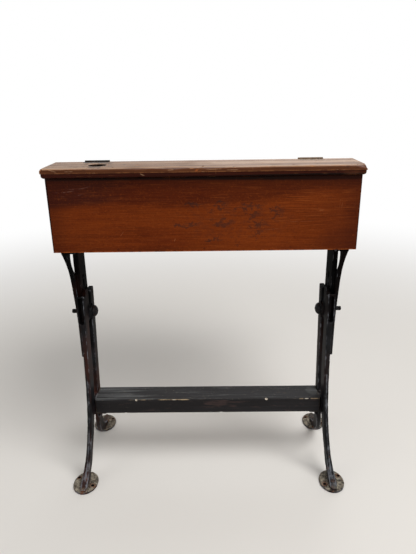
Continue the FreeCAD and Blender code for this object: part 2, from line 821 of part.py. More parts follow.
def clampHead(frame):
    web = [(size.front_toe + size.front_reach + size.rear_start * along, legHeight * up)
           for along, up in clampWebShares]
    frame.pad("across", [polygon(*web)], clampWebInner, legOuter)
    bolt = (size.bolt_distance, boltHeight)
    frame.pad("across", [ring(bolt, size.boss_radius)], bossInner, clampWebInner)
    guideLow = legHeight - size.guide_height
    front = [(size.front_toe + size.front_reach * along, legHeight * up)
             for along, up in guideShares]
    frame.pad("across", [polygon(*front)], legOuter, guideOuter)
    wall = size.guide_wall
    pocketLow, pocketHigh = legInner + wall, guideOuter - wall
    middle, reach = (pocketLow + pocketHigh) * half, (pocketHigh - pocketLow) * half
    face = size.front_toe + size.front_reach * guideFaceShare
    lip = legHeight - wall * 2
    frame.cut("along", [rectangle((pocketLow, guideLow + reach + wall), (pocketHigh, lip))],
              face, face + size.guide_depth)
    frame.cut("along", [ring((middle, guideLow + reach + wall), reach)], face, face + size.guide_depth)
    frame.cut("across", [ring(bolt, boltHole)], bossInner, legOuter)


footrestBack = size.footrest_front + size.footrest_depth
footrestUnder = footrestTop - size.footrest_thick
lugInner = legInner - size.lug_length
lugScrewShares = (0.3, 0.7)
footrestScrews = [(side * (legInner - size.lug_length * half),
                   size.footrest_front + size.footrest_depth * share)
                  for side in (-1, 1) for share in lugScrewShares]


def footrestLug(frame):
    # a bridge between the legs carries the lug, and a gusset stands under it
    lugUnder = footrestUnder - size.lug_thick
    front, back = size.footrest_front + size.lug_inset, footrestBack - size.lug_inset
    frame.pad("across", [rectangle((front, lugUnder), (back, footrestTop))], legInner + size.hole_clearance,
              legMiddle + size.lug_thick * half)
    frame.pad("level", [rectangle((lugInner, front), (legMiddle, back))], lugUnder, footrestUnder)
    middle = (front + back) * half
    corners = [(lugInner + size.lug_inset, lugUnder), (legMiddle, lugUnder), (legMiddle, lugUnder - size.lug_gusset),
               (legMiddle - size.lug_inset, lugUnder - size.lug_gusset)]
    frame.pad("along", [polygon(*corners)], middle - size.lug_thick * half, middle + size.lug_thick * half)
    ownScrews = [place for place in footrestScrews if place[0].value > 0]
    frame.cut("level", fastenerRings(ownScrews, size.screw_radius + size.hole_clearance), lugUnder, footrestUnder)


def footHoles(distance):
    # the outer hole lies towards the desk's middle line of depth, the inner one away from it
    way = 1 if distance.value < size.rear_start.value else -1
    along, across = size.foot_hole_along * half, size.foot_hole_across * half
    return [(footAcross + across, distance + way * along), (footAcross - across, distance - way * along)]


def oval(centre, width, length):
    # an ellipse as four quarter curves, whose inner control points stand at this share of the half axes
    roundShare = 0.5523
    x, y = width * half, length * half
    tips = ((1, 0), (0, 1), (-1, 0), (0, -1))
    runs = []
    for (a, b), (c, d) in zip(tips, tips[1:] + tips[:1]):
        start = (centre[0] + x * a, centre[1] + y * b)
        end = (centre[0] + x * c, centre[1] + y * d)
        leaving = (start[0] + x * (c * roundShare), start[1] + y * (d * roundShare))
        arriving = (end[0] + x * (a * roundShare), end[1] + y * (b * roundShare))
        runs.append([start, leaving, arriving, end])
    return runs


def footPad(frame, distance):
    # an oval pad with a low crown, and an instep under the leg that rises out of it
    centre = (footAcross, distance)
    levels = (zero, size.foot_thick, size.foot_thick + size.foot_crown,
              size.foot_thick + size.foot_crown + size.instep_rise)
    frame.pad("level", [oval(centre, size.foot_width, size.foot_length)], zero, levels[1])
    crown = [oval(centre, size.foot_width - inset, size.foot_length - inset)
             for inset in (size.lug_inset, size.lug_inset + size.foot_crown * size.foot_slope)]
    frame.loft(crown, levels[1], levels[2])
    instepLength = size.foot_length - size.lug_inset * 2
    instep = [oval(centre, size.instep_width - inset, instepLength - inset)
              for inset in (zero, size.instep_rise * size.foot_slope)]
    frame.loft(instep, levels[2], levels[3])
    frame.cut("level", fastenerRings(footHoles(distance), size.foot_hole_radius), zero, levels[2])


def footrest():
    bar = Piece("footrest")
    outline = rectangle((-footrestHalf, size.footrest_front), (footrestHalf, footrestBack))
    bar.pad("level", [outline], footrestUnder, footrestTop)
    bar.rounded(size.footrest_round, lambda spot: near(spot.z, footrestTop) and near(spot.x, zero))
    tip = footrestUnder - size.lug_thick - size.screw_head_thick + size.footrest_screw_length
    bar.cut("level", fastenerRings(footrestScrews, size.screw_radius + size.hole_clearance), footrestUnder, tip)
    return finished(bar)


def footrestScrewGroup():
    screws = Piece("footrest_screws")
    headTop = footrestUnder - size.lug_thick
    headLow = headTop - size.screw_head_thick
    screws.pad("level", fastenerRings(footrestScrews, size.screw_head_radius), headLow, headTop)
    screws.pad("level", fastenerRings(footrestScrews, size.screw_radius), headTop,
               headLow + size.footrest_screw_length)
    return finished(screws)


boltBase = (zero, size.bolt_distance, boltHeight)
domeShoulderShare, domeDepthShare = 0.7, 0.45


def clampBolt():
    # a domed head against the boss and a shank through frame, standard, washer and nut
    bolt = Piece("clamp_bolt_right", boltBase)
    seat = bossInner
    crown = seat - size.bolt_head_thick
    head, shank = size.bolt_head_radius, size.bolt_radius
    shoulder = crown + size.bolt_head_thick * domeDepthShare
    dome = [(crown, zero), (crown, head * domeShoulderShare), (shoulder, head), (seat, head)]
    runs = [dome, [(seat, head), (seat, shank)], [(seat, shank), (boltEnd, shank)],
            [(boltEnd, shank), (boltEnd, zero)], [(boltEnd, zero), (crown, zero)]]
    bolt.turned(runs)
    return finished(bolt)


def clampWasher():
    washer = Piece("clamp_washer_right", boltBase)
    face = webOuter
    washer.pad("across", [ring((zero, zero), size.washer_radius)], face, face + size.washer_thick)
    washer.cut("across", [ring((zero, zero), boltHole)], face, face + size.washer_thick)
    return finished(washer)


def clampNut():
    nut = Piece("clamp_nut_right", boltBase)
    face = webOuter + size.washer_thick
    reach = size.nut_across_flats * half / cosine(Size(30, "30"))
    corners = []
    for number in range(6):
        turn = Size(60 * number, str(60 * number))
        corners.append((reach * cosine(turn), reach * cosine(turn - Size(90, "90"))))
    nut.pad("across", [polygon(*corners)], face, face + size.nut_thick)
    nut.cut("across", [ring((zero, zero), boltHole)], face, face + size.nut_thick)
    return finished(nut)


backPanel()
frontPanel()
sideBoard("side_left", -1)
sideBoard("side_right", 1)
bottomBoard()
penLedge()
deskLid()
for side, word in ((-1, "left"), (1, "right")):
    lidCleat(f"lid_cleat_{word}", side)
    hingeLeaf(f"hinge_leaf_fixed_{word}", side * hingeAcross, -1)
    hingeLeaf(f"hinge_leaf_lid_{word}", side * hingeAcross, 1)
    hingePin(f"hinge_pin_{word}", side * hingeAcross)
hingeScrews("hinge_screws_fixed", -1)
hingeScrews("hinge_screws_lid", 1)
cleatScrews()
nailGroup("ledge_nails", "level", [(ledgeNails, size.desk_height, -1)])
nailGroup("back_nails", "along", [(backNails, zero, 1)])
nailGroup("front_nails", "along", [(frontNails, boxDepth, -1)])
nailGroup("side_nails", "across", [(sideNails, boxHalf, -1), (sideNails, -boxHalf, 1)])
bracketScrewGroup()
footrest()
footrestScrewGroup()
for build in (upperStandard, lowerFrame, clampBolt, clampWasher, clampNut):
    piece = build()
    mirrored(piece, piece.label.replace("right", "left"))

doc.recompute()
for item in doc.Objects:
    if "Invalid" in item.State or "Error" in item.State:
        raise RuntimeError(f"{item.Name} did not build: {item.State}")
for label, item in parts.items():
    if item.Shape.isNull() or not item.Shape.isValid():
        raise RuntimeError(f"{label} has no valid shape")
for label, item in sorted(parts.items()):
    item.Shape.exportStep(f"parts/{label}.step")
    box = item.Shape.BoundBox
    print(f"{label:26s} {len(item.Shape.Solids):2d} solids  {item.Shape.Volume / 1000:9.2f} cm3"
          f"  x {box.XMin:7.1f} {box.XMax:7.1f}  y {box.YMin:7.1f} {box.YMax:7.1f}  z {box.ZMin:6.1f} {box.ZMax:6.1f}")
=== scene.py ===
import json
from math import cos, pi, radians, sin

import bmesh
import bpy
import numpy as np
from mathutils import Matrix, Vector


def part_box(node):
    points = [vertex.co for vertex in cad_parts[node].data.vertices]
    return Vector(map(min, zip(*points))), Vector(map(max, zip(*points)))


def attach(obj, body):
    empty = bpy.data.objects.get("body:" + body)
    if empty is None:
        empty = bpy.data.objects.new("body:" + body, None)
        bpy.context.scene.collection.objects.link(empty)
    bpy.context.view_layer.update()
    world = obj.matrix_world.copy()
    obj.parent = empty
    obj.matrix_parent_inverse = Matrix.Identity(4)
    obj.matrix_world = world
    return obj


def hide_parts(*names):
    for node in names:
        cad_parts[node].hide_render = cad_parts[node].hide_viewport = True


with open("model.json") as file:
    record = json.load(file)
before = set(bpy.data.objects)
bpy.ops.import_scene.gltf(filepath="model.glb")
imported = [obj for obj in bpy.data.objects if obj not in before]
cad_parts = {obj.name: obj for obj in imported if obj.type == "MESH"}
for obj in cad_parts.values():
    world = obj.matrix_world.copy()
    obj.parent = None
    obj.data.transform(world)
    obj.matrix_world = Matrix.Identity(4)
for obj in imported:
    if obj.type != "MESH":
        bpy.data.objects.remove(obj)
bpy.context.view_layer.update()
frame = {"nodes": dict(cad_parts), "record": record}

scene = bpy.context.scene
nodes = frame["nodes"]
bodyOf = {node: body for body, members in frame["record"]["behaviour"]["bodies"].items() for node in members}


# Shader maths

class Wire:
    # one socket of a material, which can stand in sums
    def __init__(self, maker, socket):
        self.maker = maker
        self.socket = socket

    def __add__(self, other):
        return self.maker.maths("ADD", self, other)

    def __sub__(self, other):
        return self.maker.maths("SUBTRACT", self, other)

    def __rsub__(self, other):
        return self.maker.maths("SUBTRACT", other, self)

    def __mul__(self, other):
        return self.maker.maths("MULTIPLY", self, other)

    def __truediv__(self, other):
        return self.maker.maths("DIVIDE", self, other)

    def __abs__(self):
        return self.maker.maths("ABSOLUTE", self)

    __radd__ = __add__
    __rmul__ = __mul__


class Maker:
    # a new material, or world, and its nodes
    def __init__(self, name, library="materials"):
        self.owner = getattr(bpy.data, library).new(name)
        self.owner.use_nodes = True
        self.tree = self.owner.node_tree
        self.shader = self.tree.nodes.get("Principled BSDF")
        self.place = self.node("ShaderNodeTexCoord", output="Object")

    def node(self, kind, settings=None, inputs=None, output=0):
        made = self.tree.nodes.new(kind)
        for key, value in (settings or {}).items():
            if key == "stops":
                setStops(made.color_ramp, value)
            else:
                setattr(made, key, value)
        for key, value in (inputs or {}).items():
            self.feed(made.inputs[key], value)
        return Wire(self, made.outputs[output])

    def feed(self, socket, value):
        if isinstance(value, Wire):
            self.tree.links.new(value.socket, socket)
        else:
            socket.default_value = value

    def maths(self, operation, *values):
        return self.node("ShaderNodeMath", {"operation": operation}, dict(enumerate(values)))

    def least(self, first, second):
        return self.maths("MINIMUM", first, second)

    def most(self, first, second):
        return self.maths("MAXIMUM", first, second)

    def clamp(self, value):
        return self.node("ShaderNodeClamp", None, {"Value": value})

    def step(self, value, start, end):
        # 0 below start and 1 above end, smoothly between, and the other way where start is the larger
        return self.node("ShaderNodeMapRange", {"interpolation_type": "SMOOTHSTEP"},
                         {"Value": value, "From Min": start, "From Max": end})

    def moved(self, scale, shift=(0, 0, 0), turn=(0, 0, 0), place=None):
        return self.node("ShaderNodeMapping", None,
                         {"Vector": place or self.place, "Scale": scale, "Location": shift, "Rotation": turn})

    def noise(self, scale, shift=(0, 0, 0), detail=4.0, rough=0.55, place=None, turn=(0, 0, 0)):
        place = self.moved(scale, shift, turn, place)
        return self.node("ShaderNodeTexNoise", None,
                         {"Vector": place, "Scale": 1.0, "Detail": detail, "Roughness": rough}, "Fac")

    def cells(self, scale, shift=(0, 0, 0)):
        place = self.moved((scale, scale, scale), shift)
        return self.node("ShaderNodeTexVoronoi", {"feature": "F1"}, {"Vector": place, "Scale": 1.0}, "Distance")

    def ramp(self, value, stops):
        return self.node("ShaderNodeValToRGB", {"stops": stops}, {"Fac": value}, "Color")

    def mix(self, amount, first, second):
        return self.node("ShaderNodeMix", {"data_type": "RGBA", "clamp_factor": True},
                         {0: amount, 6: first, 7: second}, 2)

    def glaze(self, colour, *layers):
        # thin layers over a colour, each with the share that it covers
        for share, tint in layers:
            colour = self.mix(share, colour, tint)
        return colour

    def axes(self, place=None):
        made = self.node("ShaderNodeSeparateXYZ", None, {0: place or self.place})
        return [Wire(self, output) for output in made.socket.node.outputs]

    def away(self, x, y, point):
        # how far off an upright line is
        inputs = {0: self.node("ShaderNodeCombineXYZ", None, {0: x, 1: y}), 1: (*point[:2], 0)}
        return self.node("ShaderNodeVectorMath", {"operation": "DISTANCE"}, inputs, "Value")

    def bump(self, height, strength, distance):
        return self.node("ShaderNodeBump", None,
                         {"Height": height, "Strength": strength, "Distance": distance})

    def seen(self):
        # 1 for what the camera sees, directly or in a gloss
        made = self.node("ShaderNodeLightPath")
        outputs = made.socket.node.outputs
        return self.most(Wire(self, outputs["Is Camera Ray"]), Wire(self, outputs["Is Glossy Ray"]))

    def attribute(self, name):
        return self.node("ShaderNodeAttribute", {"attribute_name": name}, None, "Fac")

    def finish(self, **sockets):
        for name, value in sockets.items():
            self.feed(self.shader.inputs[name.replace("_", " ")], value)
        return self.owner


def setStops(ramp, stops):
    while len(ramp.elements) > 1:
        ramp.elements.remove(ramp.elements[-1])
    for number, (place, colour) in enumerate(stops):
        element = ramp.elements[0] if number == 0 else ramp.elements.new(place)
        element.position = place
        element.color = colour


def paint(red, green, blue):
    # a colour as seen on a screen, 0 to 255, as the shader's own numbers
    parts = []
    for value in (red, green, blue):
        share = value / 255
        parts.append(share / 12.92 if share <= 0.04045 else ((share + 0.055) / 1.055) ** 2.4)
    return (*parts, 1.0)


# The camera stands where the photograph was taken from, measured from the back panel's outer face.
cameraSettings = {"across": 0.0181, "away": 0.9489, "height": 0.8479, "yaw": -0.71, "down": 19.98,
                  "roll": 0.90, "focalPixels": 502.3, "framePixels": 554, "sensor": 36.0}

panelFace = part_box("back_panel")[0][1]


def makeCamera(settings):
    data = bpy.data.cameras.new("camera")
    camera = bpy.data.objects.new("camera", data)
    scene.collection.objects.link(camera)
    data.sensor_fit = "VERTICAL"
    data.sensor_height = settings["sensor"]
    data.lens = settings["focalPixels"] / settings["framePixels"] * settings["sensor"]
    turn = Matrix.Rotation(radians(-settings["yaw"]), 4, "Z")
    tilt = Matrix.Rotation(radians(90 - settings["down"]), 4, "X")
    roll = Matrix.Rotation(radians(-settings["roll"]), 4, "Z")
    spot = Vector((settings["across"], panelFace - settings["away"], settings["height"]))
    camera.matrix_world = Matrix.Translation(spot) @ turn @ tilt @ roll
    scene.camera = camera


makeCamera(cameraSettings)
print("camera set")


# Meshes

def deselectAll():
    if bpy.context.object and bpy.context.object.mode != "OBJECT":
        bpy.ops.object.mode_set(mode="OBJECT")
    bpy.ops.object.select_all(action="DESELECT")


def activate(piece):
    deselectAll()
    piece.select_set(True)
    bpy.context.view_layer.objects.active = piece


def settle(piece):
    # the object's place goes into its mesh
    activate(piece)
    bpy.ops.object.transform_apply(location=True, rotation=True, scale=True)


def inEditMode(operator, **settings):
    # one operator on the whole of the active piece
    bpy.ops.object.mode_set(mode="EDIT")
    bpy.ops.mesh.select_all(action="SELECT")
    operator(**settings)
    bpy.ops.object.mode_set(mode="OBJECT")


def copyOf(node, name):
    # a merged copy of a CAD node's mesh as a new object
    mesh = nodes[node].data.copy()
    mesh.name = name
    piece = bpy.data.objects.new(name, mesh)
    scene.collection.objects.link(piece)
    piece.matrix_world = nodes[node].matrix_world.copy()
    mesh.materials.clear()
    settle(piece)
    inEditMode(bpy.ops.mesh.remove_doubles, threshold=0.00001)
    return piece


def applyModifier(piece, kind, name, **settings):
    activate(piece)
    modifier = piece.modifiers.new(name, kind)
    for key, value in settings.items():
        setattr(modifier, key, value)
    bpy.ops.object.modifier_apply(modifier=name)


def smoothShade(piece, angle):
    activate(piece)
    bpy.ops.object.shade_smooth_by_angle(angle=radians(angle))


def boardShade(piece):
    # rounded arrises that leave the flat faces flat
    smoothShade(piece, 45)
    applyModifier(piece, "WEIGHTED_NORMAL", "flat", keep_sharp=True, weight=60, mode="FACE_AREA_WITH_ANGLE")


def joined(pieces):
    deselectAll()
    for piece in pieces:
        piece.select_set(True)
    bpy.context.view_layer.objects.active = pieces[0]
    if len(pieces) > 1:
        bpy.ops.object.join()
    return bpy.context.object


def cutAway(piece, cutters):
    # the cut faces take the cutters' finish
    cutter = joined(cutters)
    applyModifier(piece, "BOOLEAN", "cut", operation="DIFFERENCE", solver="MANIFOLD",
                  material_mode="TRANSFER", object=cutter)
    bpy.data.objects.remove(cutter)


def standIn(piece, node):
    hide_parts(node)
    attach(piece, bodyOf[node])


def spotsOf(mesh, what="co"):
    values = np.empty(len(mesh.vertices) * 3, dtype=np.float32)
    mesh.vertices.foreach_get(what, values)
    return values.reshape(-1, 3)


def place(piece, spots):
    piece.data.vertices.foreach_set("co", spots.astype(np.float32).ravel())
    piece.data.update()


def smoothStep(value, start, end):
    share = np.clip((value - start) / (end - start), 0, 1)
    return share * share * (3 - 2 * share)


# Wood

def grained(s, run, cross):
    # a scale that runs along the grain, close together across it
    return tuple(run if axis == s["grain"] else cross for axis in "XYZ")


def rimDistance(m, where, low, high):
    # how far a point of a board's face is from the nearest arris
    near = []
    for axis, value in enumerate(m.axes(where)):
        near.append(m.least(value - low[axis], high[axis] - value))
    x, y, z = near
    return m.least(m.least(x + y, y + z), x + z)


def mark(m, u, v, centre, angle, length, width):
    # one straight worn line or scratch
    du, dv = u - centre[0], v - centre[1]
    along = du * cos(angle) + dv * sin(angle)
    across = dv * cos(angle) - du * sin(angle)
    ends = m.step(abs(along), length * 0.55, length * 0.35)
    return ends * m.step(abs(across), width, width * 0.35)


def marks(m, u, v, rows):
    total = 0.0
    for row in rows:
        total = m.most(mark(m, u, v, *row), total)
    return total


def spot(m, u, v, centre, size):
    # a round patch that fades outwards, its size given across and up
    du, dv = (u - centre[0]) / size[0], (v - centre[1]) / size[1]
    return m.step(du * du + dv * dv, 1.0, 0.15)


def woodMaterial(name, s):
    # stained boards: growth bands, lines, fibres, stains, scuffs and worn arrises
    m = Maker(name)
    where = m.moved((1, 1, 1), (0, 0, 0), (s["tilt"], 0, 0))
    sway = m.node("ShaderNodeTexNoise", None, {"Vector": where, "Scale": 5.0, "Detail": 1.0}, "Color")
    sway = m.node("ShaderNodeVectorMath", {"operation": "SCALE"}, {0: sway, "Scale": s["bend"]})
    bent = m.node("ShaderNodeVectorMath", {"operation": "ADD"}, {0: where, 1: sway})
    bands = m.noise(grained(s, 1.6, s["bands"]), (0, 0, 0), 3.0, 0.55, bent)
    lines = m.noise(grained(s, 9.0, s["lines"]), (0.2, 0.6, 0.4), 3.0, 0.62, bent)
    fibres = m.noise(grained(s, 34.0, 1250.0), (0, 0, 0), 2.0, 0.6, where)
    wander = m.noise((2.6, 2.6, 4.2), (3, 1, 2), 3.0, 0.55, where)
    tone = bands * s["bandShare"] + lines * s["lineShare"] + fibres * 0.3 + wander * 0.5
    tone = tone + 0.1 - (s["bandShare"] + s["lineShare"]) / 2
    colour = m.ramp(tone, [(0.24, s["dark"]), (0.5, s["middle"]), (0.78, s["light"])])
    pores = m.step(m.noise(grained(s, 16.0, 620.0), (0.7, 0.1, 0.3), 2.0, 0.6, where), 0.6, 0.7)
    dirt = m.step(m.noise((9, 9, 13), (5, 2, 8), 5.0, 0.62, where), 0.52, 0.74)
    colour = m.glaze(colour, (pores * s["pores"], s["deep"]), (dirt * s["dirt"], s["deep"]))
    rough = s["rough"] + fibres * 0.12 + dirt * 0.08
    height = lines * 0.35 + fibres * 0.8 - pores * 0.4
    breakUp = m.noise((95, 95, 95), (1, 1, 1), 5.0, 0.68, where)
    slow = m.noise((13, 13, 13), (4, 4, 4), 2.0, 0.55, where)
    if s["extra"]:
        colour, rough, height = s["extra"](m, s, colour, rough, height, breakUp)
    rim = rimDistance(m, where, s["low"], s["high"])
    worn = m.step(rim - s["edge"] * (breakUp * 2.6 + slow * 2.4 - 2.0), 0.0005, -0.0004)
    core = m.step(rim - s["edge"] * (breakUp * 2.6 + slow * 2.4 - 2.42), 0.0002, -0.0004)
    level = m.noise((30, 30, 700), (2, 7, 1), 2.0, 0.5, where, (0.5, 0.45, 0.5))
    steep = m.noise((520, 30, 24), (8, 3, 1), 2.0, 0.5, where, (0.3, 0.2, 0.9))
    scuffs = m.most(m.step(level, 0.70, 0.76), m.step(steep, 0.71, 0.77))
    colour = m.glaze(colour, (worn * s["edgeShow"], s["edgeColour"]), (core * s["edgeShow"], s["raw"]),
                     (scuffs * s["scuffs"], s["edgeColour"]))
    rough = rough + worn * 0.15 + scuffs * 0.1
    height = height - worn * 0.35 - scuffs * 0.3
    return m.finish(Base_Color=colour, Roughness=m.clamp(rough), Normal=m.bump(height, s["bump"], 0.0007),
                    Specular_IOR_Level=s["gloss"])


def flatCopy(node, name):
    # a merged copy whose flat faces are whole again
    piece = copyOf(node, name)
    inEditMode(bpy.ops.mesh.dissolve_limited, angle_limit=radians(0.6))
    return piece


def roundEdges(piece, offset, segments, chosen):
    activate(piece)
    bpy.ops.object.mode_set(mode="EDIT")
    bpy.ops.mesh.select_all(action="DESELECT")
    shape = bmesh.from_edit_mesh(piece.data)
    for one in shape.edges:
        one.select = chosen(one)
    bmesh.update_edit_mesh(piece.data)
    bpy.ops.mesh.bevel(offset=offset, segments=segments, affect="EDGES", clamp_overlap=True)
    bpy.ops.object.mode_set(mode="OBJECT")


def isSharp(edge, angle):
    return len(edge.link_faces) == 2 and edge.calc_face_angle(0) > radians(angle)


def boardPiece(node, s, finish):
    # a board: the CAD's solid with its long arrises rounded
    piece = flatCopy(node, "board_" + node)
    piece.data.materials.append(finish)
    roundEdges(piece, s["round"], 3, lambda edge: isSharp(edge, 50) and edge.calc_length() > s["longEdge"])
    return piece


def cutRows(piece, axis, places):
    # loops right round a piece, so that its points can be moved there
    activate(piece)
    bpy.ops.object.mode_set(mode="EDIT")
    for spot in places:
        bpy.ops.mesh.select_all(action="SELECT")
        point, normal = [0, 0, 0], [0, 0, 0]
        point[axis], normal[axis] = spot, 1
        bpy.ops.mesh.bisect(plane_co=point, plane_no=normal)
    bpy.ops.object.mode_set(mode="OBJECT")


def chipPieces(rows, finish, seed):
    # rough lumps that stand where an arris is chipped: x, y, z, length and depth of each
    dice = np.random.default_rng(seed)
    chips = []
    for x, y, z, length, depth in rows:
        bpy.ops.mesh.primitive_ico_sphere_add(subdivisions=2, radius=1, location=(x, y, z))
        chip = bpy.context.object
        chip.scale = (length / 2, depth, depth)
        chip.rotation_euler = (dice.uniform(0, pi), dice.uniform(-0.12, 0.12), dice.uniform(-0.12, 0.12))
        settle(chip)
        spots = spotsOf(chip.data)
        place(chip, spots + dice.uniform(-0.16, 0.16, spots.shape) * depth)
        chip.data.materials.append(finish)
        chips.append(chip)
    return chips


def boxOf(node, tilt):
    # the box of a node, in a frame turned with a sloping one
    spots = spotsOf(nodes[node].data).astype(float)
    y = spots[:, 1] * cos(tilt) - spots[:, 2] * sin(tilt)
    z = spots[:, 1] * sin(tilt) + spots[:, 2] * cos(tilt)
    turned = np.stack([spots[:, 0], y, z], axis=1)
    return turned.min(axis=0).tolist(), turned.max(axis=0).tolist()


def boxed(s, node, **changes):
    # a piece's settings with the corners of its box
    low, high = boxOf(node, changes.get("tilt", s["tilt"]))
    return dict(s, low=low, high=high, **changes)


def finishBoard(piece, node, chips=()):
    if chips:
        cutAway(piece, chips)
    boardShade(piece)
    standIn(piece, node)


def plainBoard(node, s, name):
    # a board with nothing cut into it
    finishBoard(boardPiece(node, s, woodMaterial(name, s)), node)


def rawMaterial(name, light, dark):
    # what shows inside a fresh chip
    m = Maker(name)
    fibre = m.noise((60, 900, 900), (0, 0, 0), 3.0, 0.6)
    grime = m.noise((160, 160, 160), (0, 0, 0), 3.0)
    colour = m.mix(m.step(fibre, 0.3, 0.7), dark, light)
    colour = m.mix(m.step(grime, 0.5, 0.75) * 0.6, colour, dark)
    return m.finish(Base_Color=colour, Roughness=m.clamp(fibre * 0.2 + 0.6),
                    Normal=m.bump(fibre, 0.4, 0.0006))


rawWood = rawMaterial("bare wood in chips", paint(176, 120, 72), paint(96, 54, 28))
rawPaint = rawMaterial("chipped paint", paint(214, 204, 190), paint(150, 138, 120))


stainSettings = {"grain": "X", "bands": 20.0, "lines": 330.0, "bandShare": 0.45, "lineShare": 0.36,
                 "bend": 0.012, "tilt": 0.0, "rough": 0.38, "gloss": 0.05, "dark": paint(58, 18, 4),
                 "middle": paint(87, 31, 6), "light": paint(118, 51, 12), "deep": paint(46, 14, 5),
                 "pores": 0.4, "dirt": 0.18, "bump": 0.35, "edge": 0.0018, "edgeShow": 0.6,
                 "edgeColour": paint(128, 62, 26), "raw": paint(170, 108, 60), "scuffs": 0.2,
                 "round": 0.0013, "longEdge": 0.02, "extra": None}


def panelExtra(m, s, colour, rough, height, breakUp):
    x, y, z = m.axes()
    low, high = s["low"], s["high"]
    slow = m.noise((4, 4, 11), (7, 2, 9), 3.0, 0.6)
    streaks = m.noise((5, 5, 150), (6, 3, 1), 3.0, 0.6)
    # the upper third is dark red, with a purple cast at the left, and the rest is a warmer orange
    border = m.step(x, 0.08, 0.24) * 0.024 + 0.651
    upper = m.step(z + slow * 0.05 + streaks * 0.02 - 0.035 - border, -0.008, 0.012)
    purple = upper * m.step(x + streaks * 0.1, -0.08, -0.17)
    glow = (1 - upper) * m.step(slow + streaks * 0.25, 0.50, 0.74)
    # a close fine figure, clearest at the right
    fine = m.noise((16, 16, 640), (2, 2, 2), 3.0, 0.65)
    close = m.step(x, 0.08, 0.2) * m.step(z, 0.59, 0.63) * m.step(z, 0.690, 0.670) * 0.24 + 0.16
    curl = m.noise((230, 230, 330), (8, 1, 3), 4.0, 0.7)
    # painted shadow under the ledge, with some dirt: the panel darkened towards its top edge
    top = m.step(z + breakUp * 0.01, high[2] - 0.030, high[2] + 0.008)
    left, right = x - low[0], high[0] - x
    ends = m.step(m.least(left, right), 0.045, 0.0)
    lowRight = spot(m, x, z, (0.285, 0.575), (0.08, 0.035))
    colour = m.glaze(colour, (upper * 0.52, paint(52, 15, 5)), (purple * 0.55, paint(42, 16, 14)),
                     (glow * 0.34, paint(134, 60, 14)), (m.step(fine, 0.54, 0.66) * close, paint(156, 82, 36)),
                     (m.step(fine, 0.46, 0.36) * close, paint(40, 12, 4)),
                     (m.step(curl, 0.54, 0.70) * 0.22, paint(150, 74, 26)),
                     (m.step(curl, 0.46, 0.32) * 0.24, paint(44, 14, 6)), (top * 0.6, paint(32, 9, 3)),
                     (ends * 0.38, paint(48, 13, 5)), (lowRight * 0.35, paint(56, 18, 8)))
    # painted shadow: near black in the corner under the ledge and down the arrises, where shade falls
    shadowReach = m.step(x, -0.16, 0.25) * 0.0042 + 0.0028 + breakUp * 0.002
    black = m.step(high[2] - z - shadowReach, 0.0026, -0.0014)
    black = m.most(black, m.step(left - (z - low[2]) * 0.014 - 0.0016, 0.0008, -0.0006))
    black = m.most(black, m.step(right - breakUp * 0.003, 0.0006, -0.0006))
    # old soaked stains in loose rows along the grain
    soak = m.noise((90, 90, 150), (3, 5, 1), 5.0, 0.75)
    warp = m.noise((55, 55, 60), (9, 2, 4), 4.0, 0.7)
    across, up = x + soak * 0.10 - 0.05, z + warp * 0.05 - 0.025
    zone = 0.0
    for row in s["stains"]:
        zone = m.most(spot(m, across, up, *row), zone)
    zone = m.most(zone, spot(m, across, up, (0.07, 0.615), (0.17, 0.055)) * 0.42)
    outside = m.step(y, low[1] + 0.003, low[1] + 0.001)
    stain = m.step(soak + zone * 0.24, 0.50, 0.84) * m.step(zone, 0.0, 0.8) * outside
    # handling marks: scratches and pale flecks, then shallow arcs in the upper left
    scratch = marks(m, x, z, s["scratches"]) * m.step(breakUp, 0.36, 0.56)
    # the painted shadow and the stains go on, then painted shade that evens out the stronger lamp light at the
    # right end, a darker left end, and pale scratches
    colour = m.glaze(colour, (black * 0.92, paint(13, 5, 3)), (stain * 0.66, paint(46, 30, 25)),
                     (m.step(x, 0.10, 0.31) * 0.36, paint(50, 16, 7)),
                     (m.step(x, -0.19, -0.30) * 0.22, paint(50, 14, 5)), (scratch * 0.5, paint(158, 98, 60)))
    for middle, level, share in s["arcs"]:
        arc = abs(z - level - (x - middle) * (x - middle) * 5.0 - (x - middle) * 0.1)
        arc = m.step(arc, 0.0013, 0.0002) * m.step(abs(x - middle), 0.026, 0.010)
        colour = m.mix(arc * m.step(breakUp, 0.4, 0.6) * share, colour, paint(136, 96, 84))
    seam = m.step(z, low[2] + 0.0030, low[2] + 0.0012) * m.step(breakUp, 0.42, 0.55)
    colour = m.mix(seam * 0.6, colour, paint(176, 92, 40))
    # long shallow brush ridges in the varnish
    brush = m.noise((3.0, 3.0, 340.0), (1, 9, 2), 1.0, 0.5)
    return colour, rough + top * 0.1, height + brush * 0.5 - scratch * 0.8


